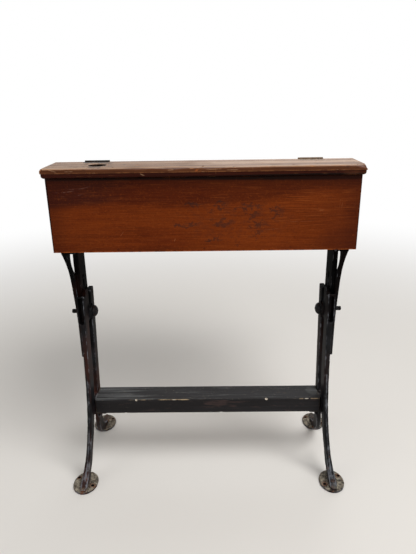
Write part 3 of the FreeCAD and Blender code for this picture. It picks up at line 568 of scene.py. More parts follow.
# Stains are centre and size, scratches are centre, angle, length and width, arcs are place, height and
# strength, nicks along the lower arris are place and length, and endNicks are side and height.
panelSettings = dict(stainSettings, edgeShow=0.12, extra=panelExtra, stains=(
    ((-0.017, 0.651), (0.026, 0.005)), ((0.033, 0.645), (0.017, 0.009)), ((0.091, 0.646), (0.034, 0.007)),
    ((0.099, 0.629), (0.020, 0.006)), ((0.144, 0.634), (0.011, 0.018)), ((0.039, 0.614), (0.030, 0.008)),
    ((-0.029, 0.611), (0.032, 0.006)), ((0.109, 0.610), (0.025, 0.008)), ((0.107, 0.593), (0.012, 0.012)),
    ((0.023, 0.580), (0.018, 0.006)), ((0.062, 0.575), (0.007, 0.005))), scratches=(
    ((0.2602, 0.6480), 1.50, 0.020, 0.0005), ((0.2645, 0.6470), 1.46, 0.017, 0.0004),
    ((0.2265, 0.6367), 0.05, 0.010, 0.0007), ((-0.1602, 0.594), 0.9, 0.012, 0.0005),
    ((-0.0509, 0.5908), 0.4, 0.004, 0.0012), ((-0.0572, 0.5808), 1.2, 0.006, 0.0012),
    ((0.13, 0.60), 0.1, 0.03, 0.0003), ((0.19, 0.615), 0.02, 0.05, 0.0003)),
    arcs=((-0.262, 0.677, 0.34), (-0.236, 0.683, 0.26), (-0.250, 0.669, 0.18)), nicks=(
    (-0.2936, 0.005), (-0.232, 0.003), (-0.1824, 0.004), (-0.0995, 0.003), (-0.0759, 0.006),
    (0.021, 0.003), (0.1665, 0.003), (0.2373, 0.004), (0.289, 0.003)),
    endNicks=((-1, 0.57), (-1, 0.642), (1, 0.60), (1, 0.668)))


def makeBox(s, panel):
    panel = boxed(panel, "back_panel")
    low, high = panel["low"], panel["high"]
    piece = boardPiece("back_panel", panel, woodMaterial("stained back panel", panel))
    rows = [(x, low[1], low[2], length, 0.0011 + length * 0.08) for x, length in panel["nicks"]]
    rows += [(side * high[0], low[1], z, 0.0026, 0.0014) for side, z in panel["endNicks"]]
    finishBoard(piece, "back_panel", chipPieces(rows, rawWood, 3))
    for node, grain in (("front_panel", "X"), ("side_left", "Y"), ("side_right", "Y")):
        board = boxed(s, node, grain=grain, bend=0.01 + 0.003 * len(node))
        plainBoard(node, board, "stained " + node.replace("_", " "))
    floor = boxed(s, "bottom_board", dark=paint(112, 82, 54), middle=paint(146, 112, 76),
                  light=paint(172, 138, 98), deep=paint(84, 58, 38), edgeColour=paint(160, 126, 88),
                  rough=0.62, gloss=0.3, dirt=0.5, scuffs=0.4)
    plainBoard("bottom_board", floor, "bare bottom board")


makeBox(stainSettings, panelSettings)
print("box boards made")


# Pen ledge and lid

# Chips are place, length and depth, and wear is place and depth, all along the near arris.
ledgeSettings = dict(
    stainSettings, bands=48.0, lines=260.0, bandShare=1.35, lineShare=0.8, rough=0.36, gloss=0.07,
    dark=paint(92, 65, 47), middle=paint(139, 107, 83), light=paint(172, 141, 115), deep=paint(58, 36, 23),
    pores=0.5, dirt=0.35, edge=0.0024, edgeShow=0.65, edgeColour=paint(166, 112, 64), raw=paint(190, 142, 92),
    scuffs=0.4, bump=0.4, side=paint(56, 27, 14), sideLight=paint(98, 57, 33), sideLow=paint(34, 8, 2),
    sideLowLight=paint(62, 20, 7), line=paint(122, 76, 44), round=0.0006, lidSlope=10, wellRadius=0.0172,
    wellRound=0.0022,
    well=next(one["pos_m"] for one in frame["record"]["mounts"] if one["name"] == "inkwell_hole"),
    scratches=(((-0.282, 0.7185), -0.30, 0.019, 0.0007), ((-0.250, 0.7165), 0.02, 0.016, 0.0005),
               ((-0.113, 0.7088), -0.4, 0.009, 0.0010), ((0.02, 0.7175), 0.03, 0.030, 0.0006),
               ((0.055, 0.7160), 0.0, 0.022, 0.0006), ((-0.060, 0.7172), 0.05, 0.012, 0.0006)),
    chips=((-0.246, 0.012, 0.0014), (-0.118, 0.010, 0.0013), (-0.021, 0.016, 0.0024), (0.004, 0.010, 0.0018),
           (0.034, 0.014, 0.0021), (0.061, 0.009, 0.0016), (0.121, 0.012, 0.0012), (0.214, 0.009, 0.0012)),
    wear=((-0.305, 0.0010), (-0.290, 0.0006), (-0.223, 0.0016), (-0.160, 0.0020), (-0.060, 0.0030),
          (0.020, 0.0022), (0.107, 0.0011), (0.180, 0.0006), (0.262, 0.0005), (0.280, 0.0012), (0.305, 0.0046)))


def ledgeExtra(m, s, colour, rough, height, breakUp):
    x, y, z = m.axes(m.moved((1, 1, 1), (0, 0, 0), (s["tilt"], 0, 0)))
    low, high = s["low"], s["high"]
    middle = (low[2] + high[2]) / 2
    below = high[2] - z
    slow = m.noise((18, 18, 18), (2, 2, 2), 3.0)
    free = y - low[1] if s["isLedge"] else high[1] - y
    outer = m.least(m.least(x - low[0], high[0] - x), free)
    # the moulded edge: brown above, dark red with painted shade below, a worn line along the step and a painted
    # shadow at the bottom
    under = m.step(below, (high[2] - low[2]) * 0.94, (high[2] - low[2]) * 0.97) * m.step(outer, 0.004, 0.012)
    side = m.step(below + breakUp * 0.0012, 0.0012, 0.0034) * (1 - under)
    tone = m.noise((14, 14, 420), (4, 1, 1), 4.0, 0.6)
    sideColour = m.mix(m.step(z, middle + 0.0005, middle - 0.0015), m.mix(tone, s["side"], s["sideLight"]),
                       m.mix(tone, s["sideLow"], s["sideLowLight"]))
    # painted shadow: near black along the bottom of the edge, deeper towards the right
    grime = m.step(x, -0.05, 0.25) * 0.0034 + 0.0008 + breakUp * 0.001
    grime = m.step(z - low[2] - grime, 0.0010, -0.0008) * side
    line = m.step(abs(z - (middle + 0.0007)), 0.0013, 0.0003) * m.step(outer, 0.0011, 0.0006)
    line = line * m.step(breakUp + slow * 0.6, 0.66, 0.86)
    colour = m.glaze(colour, (under * 0.6, paint(82, 46, 28)), (side, sideColour),
                     (grime * 0.85, paint(14, 5, 3)), (line * 0.8, s["line"]))
    if s["isLedge"]:
        # painted shade: the top darker towards the left end, away from the sheen at the right
        left = m.step(x + slow * 0.1, 0.02, -0.26) * m.step(below, 0.0014, 0.0004)
        colour = m.mix(left * 0.34, colour, paint(104, 84, 68))
    # the top arris is rubbed through in stretches
    reach = m.step(outer + breakUp * 0.004 + slow * 0.006, 0.0095, 0.0045) * m.step(below, 0.0022, 0.0004)
    colour = m.mix(reach * 0.75, colour, s["edgeColour"])
    if s["isLedge"]:
        # scratches and a knot on the edge, a pale ring round the well, painted shade down its bore and blots of
        # ink beside it
        face = m.step(y, low[1] + 0.004, low[1] + 0.002)
        scratch = marks(m, x, z, s["scratches"]) * face * m.step(breakUp, 0.34, 0.52)
        knot = spot(m, x, z, (-0.009, 0.7150), (0.007, 0.0042)) * face * m.step(breakUp, 0.42, 0.56)
        away = m.away(x, y, s["well"])
        ring = m.step(away - s["wellRadius"] - breakUp * 0.002, 0.0030, 0.0) * m.step(below, 0.004, 0.001)
        bore = m.step(away, s["wellRadius"] + 0.0014, s["wellRadius"] + 0.0007)
        corner = spot(m, x, y, (high[0], low[1] + 0.004), (0.05, 0.022)) * m.step(slow, 0.3, 0.6)
        blot = m.noise((40, 40, 40), (6, 1, 3), 4.0, 0.6) + m.step(away, 0.07, 0.02) * 0.16
        colour = m.glaze(colour, (scratch * 0.6, paint(172, 134, 102)), (knot * 0.8, paint(150, 80, 36)),
                         (ring * 0.7, paint(176, 138, 104)), (bore, paint(16, 10, 8)),
                         (corner * 0.65, paint(92, 52, 30)),
                         (m.step(blot, 0.64, 0.72) * 0.55, paint(38, 28, 26)))
    return colour, rough + side * -0.04, height + side * breakUp * 0.4


def wearLedge(piece, s):
    # the near arris is rubbed down in a long wave, and the right corner slopes away
    low, high = s["low"], s["high"]
    cutRows(piece, 0, np.linspace(low[0] + 0.006, high[0] - 0.006, 42).tolist())
    cutRows(piece, 1, [low[1] + 0.0045, low[1] + 0.0075, low[1] + 0.012, low[1] + 0.019])
    spots = spotsOf(piece.data).astype(float)
    depth = np.interp(spots[:, 0], [one[0] for one in s["wear"]], [one[1] for one in s["wear"]])
    ripple = np.sin(spots[:, 0] * 87) * 0.3 + np.sin(spots[:, 0] * 211 + 1) * 0.2 + 1
    near = smoothStep(spots[:, 1], low[1] + 0.018, low[1])
    upper = smoothStep(spots[:, 2], high[2] - 0.009, high[2])
    spots[:, 2] -= depth * ripple * near * upper
    place(piece, spots)


def makeTop(s):
    ledge = boxed(s, "pen_ledge", extra=ledgeExtra, isLedge=True)
    low, high = ledge["low"], ledge["high"]
    front, top = low[1], high[2]
    piece = boardPiece("pen_ledge", ledge, woodMaterial("worn pen ledge", ledge))

    def onRim(edge):
        away = [abs((corner.co.xy - Vector(s["well"][:2])).length - s["wellRadius"]) for corner in edge.verts]
        return max(away) < 0.0004 and all(abs(corner.co.z - top) < 0.0001 for corner in edge.verts)

    roundEdges(piece, s["wellRound"], 3, onRim)
    dice = np.random.default_rng(11)
    rows = [(x, front + 0.0006, top - 0.0008, length, depth) for x, length, depth in s["chips"]]
    for x in dice.uniform(-0.29, 0.29, 9):
        rows.append((x, front + 0.0002, top - 0.0093, dice.uniform(0.004, 0.012), dice.uniform(0.0006, 0.0012)))
    rows.append((low[0] + 0.0012, front + 0.0014, top - 0.002, 0.007, 0.0026))
    for side in (-1, 1):
        rows.append((side * (high[0] - 0.0004), front + 0.05 + side * 0.014, top - 0.0012, 0.004, 0.0015))
    wearLedge(piece, ledge)
    finishBoard(piece, "pen_ledge", chipPieces(rows, rawWood, 5))
    tilt = radians(s["lidSlope"])
    plainBoard("lid", boxed(s, "lid", extra=ledgeExtra, isLedge=False, tilt=tilt, dirt=0.5, scuffs=0.6),
               "worn lid")
    for node in ("lid_cleat_left", "lid_cleat_right"):
        cleat = boxed(s, node, grain="Y", tilt=tilt, dark=paint(110, 80, 52), middle=paint(140, 106, 72),
                      light=paint(166, 132, 94), rough=0.6, round=0.0012)
        plainBoard(node, cleat, "bare " + node.replace("_", " "))


makeTop(ledgeSettings)
print("ledge and lid made")


# Footrest

# Worn stretches are middle, length and strength, and chips are place, length and depth.
footrestSettings = dict(
    stainSettings, bands=34.0, lines=230.0, rough=0.44, gloss=0.12, dark=paint(20, 18, 18),
    middle=paint(29, 27, 28), light=paint(42, 41, 43), deep=paint(14, 12, 13), pores=0.3, dirt=0.2,
    edge=0.0011, edgeShow=0.4, edgeColour=paint(96, 84, 70), raw=paint(170, 156, 136), scuffs=0.3, bump=0.45,
    round=0.0011, worn=((-0.155, 0.050, 0.8), (-0.077, 0.070, 1.0), (0.111, 0.030, 0.6), (0.165, 0.06, 0.45),
                        (0.230, 0.060, 0.95)),
    chips=((-0.1635, 0.0056, 0.0030), (0.1355, 0.0076, 0.0031)),
    nicks=((-0.0766, 0.010, 0.0016), (0.2275, 0.012, 0.0014)), backChip=(-0.1012, 0.0045, 0.0022),
    lowNicks=((0.031, 0.008, 0.0015), (-0.19, 0.006, 0.0013)))


def footrestExtra(m, s, colour, rough, height, breakUp):
    x, y, z = m.axes()
    low, high = s["low"], s["high"]
    # dust rubbed along the grain, thicker at the left end and in the right back corner
    up = m.step(z, high[2] - 0.0012, high[2] - 0.0002)
    streak = m.noise((9, 170, 170), (3, 3, 8), 4.0, 0.66)
    more = m.step(x, -0.08, -0.22) * 0.16 + spot(m, x, y, (0.246, -0.108), (0.020, 0.026)) * 0.24
    dust = m.step(streak + more, 0.52, 0.80) * up
    specks = m.step(m.cells(260), 0.16, 0.08) * m.step(streak, 0.45, 0.6) * up
    front = m.step(y, low[1] + 0.002, low[1] + 0.0005)
    smudge = m.noise((30, 30, 190), (2, 5, 5), 4.0, 0.6)
    smudge = m.step(smudge + spot(m, x, z, (0.03, 0.176), (0.06, 0.014)) * 0.16, 0.58, 0.74) * front
    # the front arris is rubbed to the wood in the stretches that shoes meet
    near = abs(y - low[1]) + abs(z - high[2])
    rubbed = 0.0
    for middle, length, thick in s["worn"]:
        part = m.step(abs(x - middle), length * 0.56, length * 0.38)
        rub = m.step(near - breakUp * 0.0012 * thick, 0.0013 * thick, 0.0004 * thick)
        rubbed = m.most(part * rub, rubbed)
    colour = m.glaze(colour, (dust * 0.6, paint(110, 112, 112)), (specks * 0.8, paint(190, 178, 154)),
                     (smudge * 0.32, paint(86, 66, 62)),
                     (rubbed * m.step(breakUp, 0.40, 0.52) * 0.9, paint(176, 154, 122)))
    return colour, rough + dust * 0.25, height + dust * 0.3 - rubbed * 0.8


def makeFootrest(s):
    rest = boxed(s, "footrest", extra=footrestExtra)
    low, high = rest["low"], rest["high"]
    piece = boardPiece("footrest", rest, woodMaterial("black painted footrest", rest))
    rows = [(x, low[1] + 0.0004, high[2] - 0.0006, length, depth) for x, length, depth in s["chips"]]
    rows += [(x, low[1], high[2], length, depth) for x, length, depth in s["nicks"]]
    rows.append((s["backChip"][0], high[1], high[2], *s["backChip"][1:]))
    rows += [(x, low[1], low[2], length, depth) for x, length, depth in s["lowNicks"]]
    finishBoard(piece, "footrest", chipPieces(rows, rawPaint, 9))


makeFootrest(footrestSettings)
print("footrest made")


# Castings

# holes are the pads' screw holes, out from the middle and along
castSettings = {"voxel": 0.0016, "smoothing": 3, "lumps": 0.00035, "lumpSize": 0.014, "edgeReach": 7,
                "ridge": 0.0030, "ridgeLow": 0.012, "ridgeHigh": 0.30, "legHalfWidth": 0.012, "flare": 0.45,
                "flareTop": 0.075, "paint": paint(10, 10, 11), "paintLight": paint(26, 26, 29),
                "shadeUnderBox": paint(5, 5, 5), "brown": paint(62, 27, 15), "bare": paint(112, 114, 120),
                "rust": paint(112, 66, 40), "dust": paint(104, 98, 86), "pad": paint(80, 75, 66),
                "padLight": paint(172, 162, 144), "speck": paint(170, 160, 144), "hole": paint(10, 8, 7),
                "holes": ((0.303, -0.1842), (0.266, -0.2102), (0.303, 0.0163), (0.266, 0.0423))}


def markEdges(piece, reach):
    # how much each point stands out from its neighbours, kept as the attribute that wear follows
    mesh = piece.data
    count = len(mesh.vertices)
    spots, normals = spotsOf(mesh).astype(float), spotsOf(mesh, "normal").astype(float)
    pairs = np.empty(len(mesh.edges) * 2, dtype=np.int32)
    mesh.edges.foreach_get("vertices", pairs)
    pairs = pairs.reshape(-1, 2)
    soft = spots.copy()
    links = np.bincount(pairs.ravel(), minlength=count)
    for _ in range(reach):
        total = np.zeros_like(soft)
        for axis in range(3):
            total[:, axis] += np.bincount(pairs[:, 0], soft[pairs[:, 1], axis], count)
            total[:, axis] += np.bincount(pairs[:, 1], soft[pairs[:, 0], axis], count)
        soft = total / np.maximum(links, 1)[:, None]
    stand = np.einsum("ij,ij->i", spots - soft, normals)
    scale = np.percentile(np.abs(stand), 98) + 1e-9
    layer = mesh.attributes.new("edge", "FLOAT", "POINT")
    layer.data.foreach_set("value", np.clip(stand / scale, -1, 1).astype(np.float32))


def ridgeFront(piece, s):
    # the front leg widens to its pad, and its face is drawn out to a ridge down its middle
    spots = spotsOf(piece.data).astype(float)
    normals = spotsOf(piece.data, "normal")
    rows = np.floor(spots[:, 2] / 0.003).astype(int)
    facing = (normals[:, 1] < -0.25) & (spots[:, 2] > s["ridgeLow"]) & (spots[:, 2] < s["ridgeHigh"])
    for row in np.unique(rows[facing]):
        here = np.flatnonzero(facing & (rows == row))
        here = here[spots[here, 1] < spots[here, 1].min() + 0.006]
        x, z = spots[here, 0], spots[here, 2]
        middle, halfWidth = (x.max() + x.min()) / 2, (x.max() - x.min()) / 2 + 1e-6
        if halfWidth > s["legHalfWidth"]:
            continue
        level = np.flatnonzero((rows == row) & (np.abs(spots[:, 0] - middle) < halfWidth + 0.002)
                               & (spots[:, 1] < spots[here, 1].min() + 0.03))
        spread = s["flare"] * smoothStep(z.mean(), s["flareTop"], s["ridgeLow"])
        spots[level, 0] += (spots[level, 0] - middle) * spread
        rise = smoothStep(z, s["ridgeLow"], s["ridgeLow"] + 0.02)
        rise = rise * smoothStep(z, s["ridgeHigh"], s["ridgeHigh"] - 0.05)
        spots[here, 1] -= s["ridge"] * rise * np.clip(1 - np.abs(x - middle) / halfWidth, 0, 1)
    place(piece, spots)


def castPiece(node, s):
    # a casting: the CAD's solid with the soft arrises and slightly uneven skin that a sand mould leaves
    piece = copyOf(node, "cast_" + node)
    applyModifier(piece, "REMESH", "skin", mode="VOXEL", voxel_size=s["voxel"], adaptivity=0.0)
    applyModifier(piece, "SMOOTH", "soften", factor=0.5, iterations=s["smoothing"])
    if node.startswith("lower"):
        ridgeFront(piece, s)
        applyModifier(piece, "SMOOTH", "ease", factor=0.4, iterations=1)
    applyModifier(piece, "DISPLACE", "lumps", texture=mouldSkin, strength=s["lumps"], mid_level=0.95,
                  texture_coords="LOCAL")
    spots = spotsOf(piece.data)
    spots[:, 2] = np.maximum(spots[:, 2], 0.0)  # the pads stay on the floor
    place(piece, spots)
    markEdges(piece, s["edgeReach"])
    smoothShade(piece, 180)
    return piece


def castMaterial(s):
    # painted shade: near black above the clamps, where the box shades them; greyer below, with rubbed paint and
    # painted highlights on the arrises
    m = Maker("worn black paint on iron")
    x, y, z = m.axes()
    lumps = m.noise((30, 30, 30), (0, 0, 0), 4.0)
    sand = m.noise((430, 430, 430), (0, 0, 0), 3.0, 0.7)
    patches = m.noise((60, 60, 38), (3, 1, 7), 5.0, 0.68)
    edge = m.attribute("edge")
    low = m.step(z, 0.16, 0.01)
    # painted shade under the box, from the clamps up
    high = m.step(z, 0.30, 0.50)
    left = m.step(x, 0.05, -0.05)
    pad = m.step(z, 0.016, 0.006)
    # painted reflection: brown glints of the floor in the paint, stronger on the left casting
    brown = m.step(m.noise((20, 20, 7), (4, 4, 1), 4.0, 0.6), 0.42, 0.66) * (left * 0.5 + 0.25)
    # worn paint on the arrises, and painted highlights there too, more on the lower legs
    worn = m.step(edge * 0.42 + patches + low * 0.13 - high * 0.08, 0.80, 1.0)
    rust = m.noise((85, 85, 85), (9, 2, 4), 5.0, 0.7) + low * 0.06 + pad * 0.03
    rust = m.step(rust, 0.62, 0.74)
    # pale dirt lies on the pads, with rust round their screw holes and painted shade inside them
    up = m.axes(m.node("ShaderNodeNewGeometry", None, None, "Normal"))[2]
    mottle = m.noise((150, 150, 60), (1, 4, 2), 5.0, 0.72)
    padDust = pad * m.step(up, 0.2, 0.9) * m.step(mottle, 0.30, 0.50)
    near = 1.0
    for hole in s["holes"]:
        near = m.least(m.away(abs(x), y, hole), near)
    ring = m.step(near + patches * 0.008, 0.0125, 0.0065) * pad
    dust = m.step(up, 0.45, 1.0) * m.step(patches, 0.5, 0.85) * (1 - high * 0.6)
    specks = m.step(m.cells(120, (2, 2, 2)), 0.10, 0.05)
    specks = specks * m.step(patches, 0.52, 0.6) * (1 - high)
    colour = m.mix(m.step(lumps, 0.35, 0.7), s["paint"], s["paintLight"])
    colour = m.glaze(colour, (brown, s["brown"]), (high * 0.85, s["shadeUnderBox"]), (worn * 0.7, s["bare"]),
                     (rust * (0.2 + low * 0.45), s["rust"]),
                     (padDust * 0.92, m.mix(m.step(mottle, 0.38, 0.72), s["pad"], s["padLight"])),
                     (ring * 0.7, s["rust"]), (m.step(near, 0.0042, 0.0034) * pad, s["hole"]),
                     (dust * 0.3, s["dust"]), (specks * 0.7, s["speck"]))
    rough = m.clamp(0.42 + worn * 0.1 + rust * 0.25 + dust * 0.25 + padDust * 0.25 + sand * 0.12)
    height = lumps * 0.5 + sand * 0.35 - worn * 0.25 - rust * 0.25 + padDust * mottle * 0.5
    return m.finish(Base_Color=colour, Roughness=rough, Metallic=worn * 0.4, Specular_IOR_Level=0.0,
                    Coat_Weight=(1 - high) * (1 - padDust) * 0.2 + 0.04, Coat_Roughness=0.34,
                    Normal=m.bump(height, 0.6, 0.001))


mouldSkin = bpy.data.textures.new("mould skin", "CLOUDS")
mouldSkin.noise_scale = castSettings["lumpSize"]
mouldSkin.noise_depth = 2
castFinish = castMaterial(castSettings)
for word in ("left", "right"):
    for node in (f"upper_standard_{word}", f"lower_frame_{word}"):
        piece = castPiece(node, castSettings)
        piece.data.materials.append(castFinish)
        standIn(piece, node)
print("castings made")


# Steel

def steelMaterial(name, s):
    # oxide and grime over steel, brighter where it is rubbed, with rust in spots
    m = Maker(name)
    grime = m.noise((160, 160, 160), s["shift"], 5.0, 0.62)
    fine = m.noise((900, 900, 900), s["shift"], 3.0, 0.6)
    colour = m.mix(m.step(grime, 0.3, 0.7), s["dark"], s["light"])
    rust = m.step(m.noise((230, 230, 230), (2, 8, 3), 5.0, 0.7), 0.56, 0.70)
    colour = m.mix(rust * s["rusty"], colour, s["rust"])
    rubbed = m.step(m.noise((420, 420, 420), (5, 5, 5), 4.0, 0.65), 0.58, 0.72) * (1 - rust)
    colour = m.mix(rubbed * s["rubbed"], colour, s["bright"])
    rough = m.clamp(0.36 + grime * 0.15 + rust * 0.35 + fine * 0.1)
    metal = m.clamp(s["metal"] - rust * 0.6)
    return m.finish(Base_Color=colour, Roughness=rough, Metallic=metal, Specular_IOR_Level=0.1,
                    Normal=m.bump(fine + rust, 0.35, 0.0003))


boltSettings = {"shift": (1, 2, 3), "dark": paint(16, 15, 16), "light": paint(34, 33, 34),
                "rust": paint(88, 50, 30), "bright": paint(92, 92, 94), "rusty": 0.45, "rubbed": 0.4,
                "metal": 0.35, "headRadius": 0.0135, "headThick": 0.0105, "radius": 0.005, "sunk": 0.004,
                "pitch": 0.0016, "threadDepth": 0.00055, "threadStart": 0.0325, "threadEnd": 0.0012,
                "endTaper": 0.0009, "rowsPerTurn": 6, "boreReach": 0.0065, "nutRound": 0.0009,
                "washerRound": 0.0003}
hingeSettings = dict(boltSettings, shift=(4, 1, 2), dark=paint(30, 26, 24), light=paint(56, 50, 46),
                     rubbed=0.35, rusty=0.5, metal=0.5)
dustySettings = dict(hingeSettings, shift=(1, 5, 4), dark=paint(84, 66, 50), light=paint(128, 106, 84),
                     rust=paint(110, 70, 44), bright=paint(120, 110, 98), metal=0.1)
screwSettings = dict(boltSettings, shift=(2, 4, 1), dark=paint(52, 46, 42), light=paint(92, 84, 76),
                     rubbed=0.5, bright=paint(140, 134, 126), rusty=0.5, metal=0.6, slotLength=0.012,
                     slotWidth=0.0011, slotDepth=0.0012)
boltFinish = steelMaterial("blackened bolt steel", boltSettings)
hingeFinish = steelMaterial("old hinge steel", hingeSettings)
dustyFinish = steelMaterial("dusty hinge steel", dustySettings)
screwFinish = steelMaterial("screw steel", screwSettings)


def boltPiece(side, word, s):
    # a domed bolt with a real thread on the end that the nut turns on
    node = "clamp_bolt_" + word
    low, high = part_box(node)
    inner, outer = (high[0], low[0]) if side < 0 else (low[0], high[0])
    y, z = (low[1] + high[1]) / 2, (low[2] + high[2]) / 2
    bpy.ops.mesh.primitive_cylinder_add(
        vertices=36, radius=s["radius"], depth=abs(outer - inner) - s["sunk"], rotation=(0, pi / 2, 0),
        location=((inner + outer) / 2 + side * s["sunk"] / 2, y, z))
    shank = bpy.context.object
    settle(shank)
    start = inner + side * s["threadStart"]
    count = int(abs(outer - start) / s["pitch"] * s["rowsPerTurn"])
    cutRows(shank, 0, [start + (outer - start) * row / count for row in range(count)])
    spots = spotsOf(shank.data).astype(float)
    past = (spots[:, 0] - start) * side
    dy, dz = spots[:, 1] - y, spots[:, 2] - z
    phase = (past / s["pitch"] - np.arctan2(dz, dy) * side / (2 * pi)) % 1
    taper = smoothStep((outer - spots[:, 0]) * side, s["threadEnd"], 0) * s["endTaper"]
    cut = s["threadDepth"] * np.abs(phase * 2 - 1) + taper
    radius = np.hypot(dy, dz)
    wanted = np.where(past > 0.0001, s["radius"] - cut, s["radius"])
    share = np.where(radius > s["radius"] * 0.9, wanted / np.maximum(radius, 1e-6), 1.0)
    spots[:, 1], spots[:, 2] = y + dy * share, z + dz * share
    place(shank, spots)
    # the head is half a flattened ball, a little uneven and rounded at its rim
    rim = inner + side * s["headThick"]
    bpy.ops.mesh.primitive_uv_sphere_add(segments=48, ring_count=24, radius=1, location=(rim, y, z),
                                         rotation=(0, pi / 2, 0))
    head = bpy.context.object
    head.scale = (s["headRadius"], s["headRadius"], s["headThick"])
    settle(head)
    inEditMode(bpy.ops.mesh.bisect, plane_co=(rim, y, z), plane_no=(side, 0, 0), use_fill=True,
               clear_outer=True)
    applyModifier(head, "BEVEL", "rim", width=0.0006, segments=2, limit_method="ANGLE",
                  angle_limit=radians(50))
    spots = spotsOf(head.data).astype(float)
    dice = np.random.default_rng(21 + side)
    bumps = sum(np.sin(spots @ dice.uniform(-900, 900, 3) + dice.uniform(0, 6)) for _ in range(4)) * 0.00006
    depth = np.abs(spots[:, 0] - inner)
    spots[:, 0] += bumps * (depth < s["headThick"] * 0.9) + side * 0.0003 * (depth < 0.004)
    place(head, spots)
    applyModifier(head, "BOOLEAN", "shank", operation="UNION", solver="EXACT", object=shank)
    bpy.data.objects.remove(shank)
    head.name = "domed_bolt_" + word
    head.data.materials.append(boltFinish)
    smoothShade(head, 40)
    standIn(head, node)


def roundedSteel(node, name, offset, s):
    # a nut or washer with its outer edges rounded and its bore left sharp
    piece = flatCopy(node, name)
    low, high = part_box(node)
    middle = (Vector(low) + Vector(high)).yz / 2

    def outside(edge):
        return all((corner.co.yz - middle).length > s["boreReach"] for corner in edge.verts)

    roundEdges(piece, offset, 2, lambda edge: isSharp(edge, 25) and outside(edge))
    smoothShade(piece, 30)
    piece.data.materials.append(boltFinish)
    standIn(piece, node)


for side, word in ((-1, "left"), (1, "right")):
    boltPiece(side, word, boltSettings)
    roundedSteel("clamp_nut_" + word, "hex_nut_" + word, boltSettings["nutRound"], boltSettings)
    roundedSteel("clamp_washer_" + word, "washer_" + word, boltSettings["washerRound"], boltSettings)
print("clamps made")


def slottedScrews(node, s, finish):
    # each screw's head gets its slot, turned as it was left
    copyOf(node, "slotted_" + node)
    inEditMode(bpy.ops.mesh.separate, type="LOOSE")
    screws = list(bpy.context.selected_objects)
    screws.sort(key=lambda one: tuple(np.round(spotsOf(one.data).mean(axis=0), 5)))
    dice = np.random.default_rng(len(node))
    cutters = []
    for screw in screws:
        spots = spotsOf(screw.data).astype(float)
        middle = (spots.max(axis=0) + spots.min(axis=0)) / 2
        axis = np.linalg.svd(spots - spots.mean(axis=0), full_matrices=False)[2][0]
        along = (spots - middle) @ axis
        away = np.linalg.norm(spots - middle - along[:, None] * axis, axis=1)
        if away[along > 0].max() < away[along < 0].max():
            axis, along = -axis, -along
        bpy.ops.mesh.primitive_cube_add(size=1)
        cutter = bpy.context.object
        centre = spots[along > along.max() - 0.0002].mean(axis=0)
        turn = Vector(axis).to_track_quat("Z", "Y").to_matrix().to_4x4()
        turn = turn @ Matrix.Rotation(dice.uniform(0, pi), 4, "Z")
        size = Matrix.Diagonal((s["slotLength"], s["slotWidth"], s["slotDepth"] * 2, 1))
        cutter.matrix_world = Matrix.Translation(Vector(centre)) @ turn @ size
        settle(cutter)
        cutters.append(cutter)
    piece = joined(screws)
    piece.name = "slotted_" + node
    cutAway(piece, cutters)
    smoothShade(piece, 30)
    piece.data.materials.clear()
    piece.data.materials.append(finish)
    standIn(piece, node)


for node in ("hinge_screws_fixed", "hinge_screws_lid", "cleat_screws", "bracket_screws", "footrest_screws"):
    slottedScrews(node, screwSettings, screwFinish)
print("screws made")


def coverNode(node, finish):
    nodes[node].data.materials.clear()
    nodes[node].data.materials.append(finish)


def nailMaterial(name, dark, light, high):
    # nail heads are stained over with the board and show as faint rings
    m = Maker(name)
    tone = m.noise((40, 220, 220), (3, 2, 6), 4.0, 0.6)
    pit = m.noise((1400, 1400, 1400), (0, 0, 0), 2.0)
    colour = m.mix(m.step(tone, 0.35, 0.65), dark, light)
    x, _, z = m.axes()
    colour = m.mix(m.step(z, 0.645, 0.66) * m.step(x, 0.05, -0.05) * 0.8, colour, high)
    colour = m.mix(m.step(pit, 0.6, 0.72) * 0.3, colour, paint(40, 16, 8))
    return m.finish(Base_Color=colour, Roughness=m.clamp(pit * 0.2 + 0.36), Normal=m.bump(pit, 0.4, 0.0002),
                    Specular_IOR_Level=0.05)


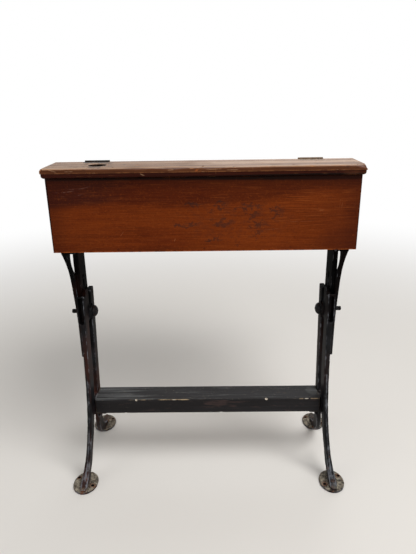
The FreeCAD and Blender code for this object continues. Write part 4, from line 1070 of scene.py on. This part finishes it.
panelNail = nailMaterial("stained nail heads", paint(74, 26, 7), paint(92, 37, 10), paint(44, 15, 7))
ledgeNail = nailMaterial("worn nail heads", paint(86, 60, 42), paint(124, 92, 64), paint(112, 82, 58))
for node in ("back_nails", "front_nails", "side_nails"):
    coverNode(node, panelNail)
coverNode("ledge_nails", ledgeNail)
for word, finish in (("left", hingeFinish), ("right", dustyFinish)):
    for node in ("hinge_leaf_fixed_", "hinge_leaf_lid_", "hinge_pin_"):
        coverNode(node + word, finish)
print("hinges and nails finished")


# Floor, backdrop and light

stageSettings = {"floor": paint(226, 222, 216), "floorDark": paint(206, 202, 198), "size": 60.0,
                 "fadeStart": 0.75, "fadeEnd": 2.6, "world": 0.36, "aim": (0, 0, 0.4),
                 "lamps": (("key", (1.1, -1.3, 2.75), 1.6, 66.0), ("fill", (-2.0, -1.5, 1.5), 1.6, 7.0),
                           ("rim", (0.5, 2.2, 2.1), 1.6, 13.0))}


def makeStage(s):
    bpy.ops.mesh.primitive_plane_add(size=s["size"], location=(0, 0, 0))
    floor = bpy.context.object
    floor.name = "floor"
    m = Maker("floor")
    grain = m.noise((9, 9, 9), (0, 0, 0), 3.0)
    m.finish(Base_Color=m.mix(grain * 0.06, s["floor"], s["floorDark"]), Roughness=0.7)
    # far from the desk the floor turns into the white backdrop
    output = m.tree.nodes["Material Output"]
    x, y, _ = m.axes()
    far = m.step(m.maths("SQRT", x * x + y * y), s["fadeStart"], s["fadeEnd"])
    white = m.node("ShaderNodeEmission", None, {"Color": (1, 1, 1, 1), "Strength": 1.0})
    blend = m.node("ShaderNodeMixShader", None, {0: far * m.seen(), 1: Wire(m, m.shader.outputs[0]), 2: white})
    m.tree.links.new(blend.socket, output.inputs["Surface"])
    floor.data.materials.append(m.owner)
    world = Maker("studio", "worlds")
    background = world.tree.nodes["Background"]
    world.feed(background.inputs["Color"], (1, 1, 1, 1))
    world.feed(background.inputs["Strength"], world.seen() * (1 - s["world"]) + s["world"])
    scene.world = world.owner
    for name, spot, size, power in s["lamps"]:
        light = bpy.data.lights.new(name, "AREA")
        light.size = size
        light.energy = power
        lamp = bpy.data.objects.new(name, light)
        scene.collection.objects.link(lamp)
        aim = Vector(s["aim"]) - Vector(spot)
        lamp.matrix_world = Matrix.Translation(spot) @ aim.to_track_quat("-Z", "Y").to_matrix().to_4x4()


makeStage(stageSettings)
scene.view_settings.view_transform = "Standard"
print("stage set")
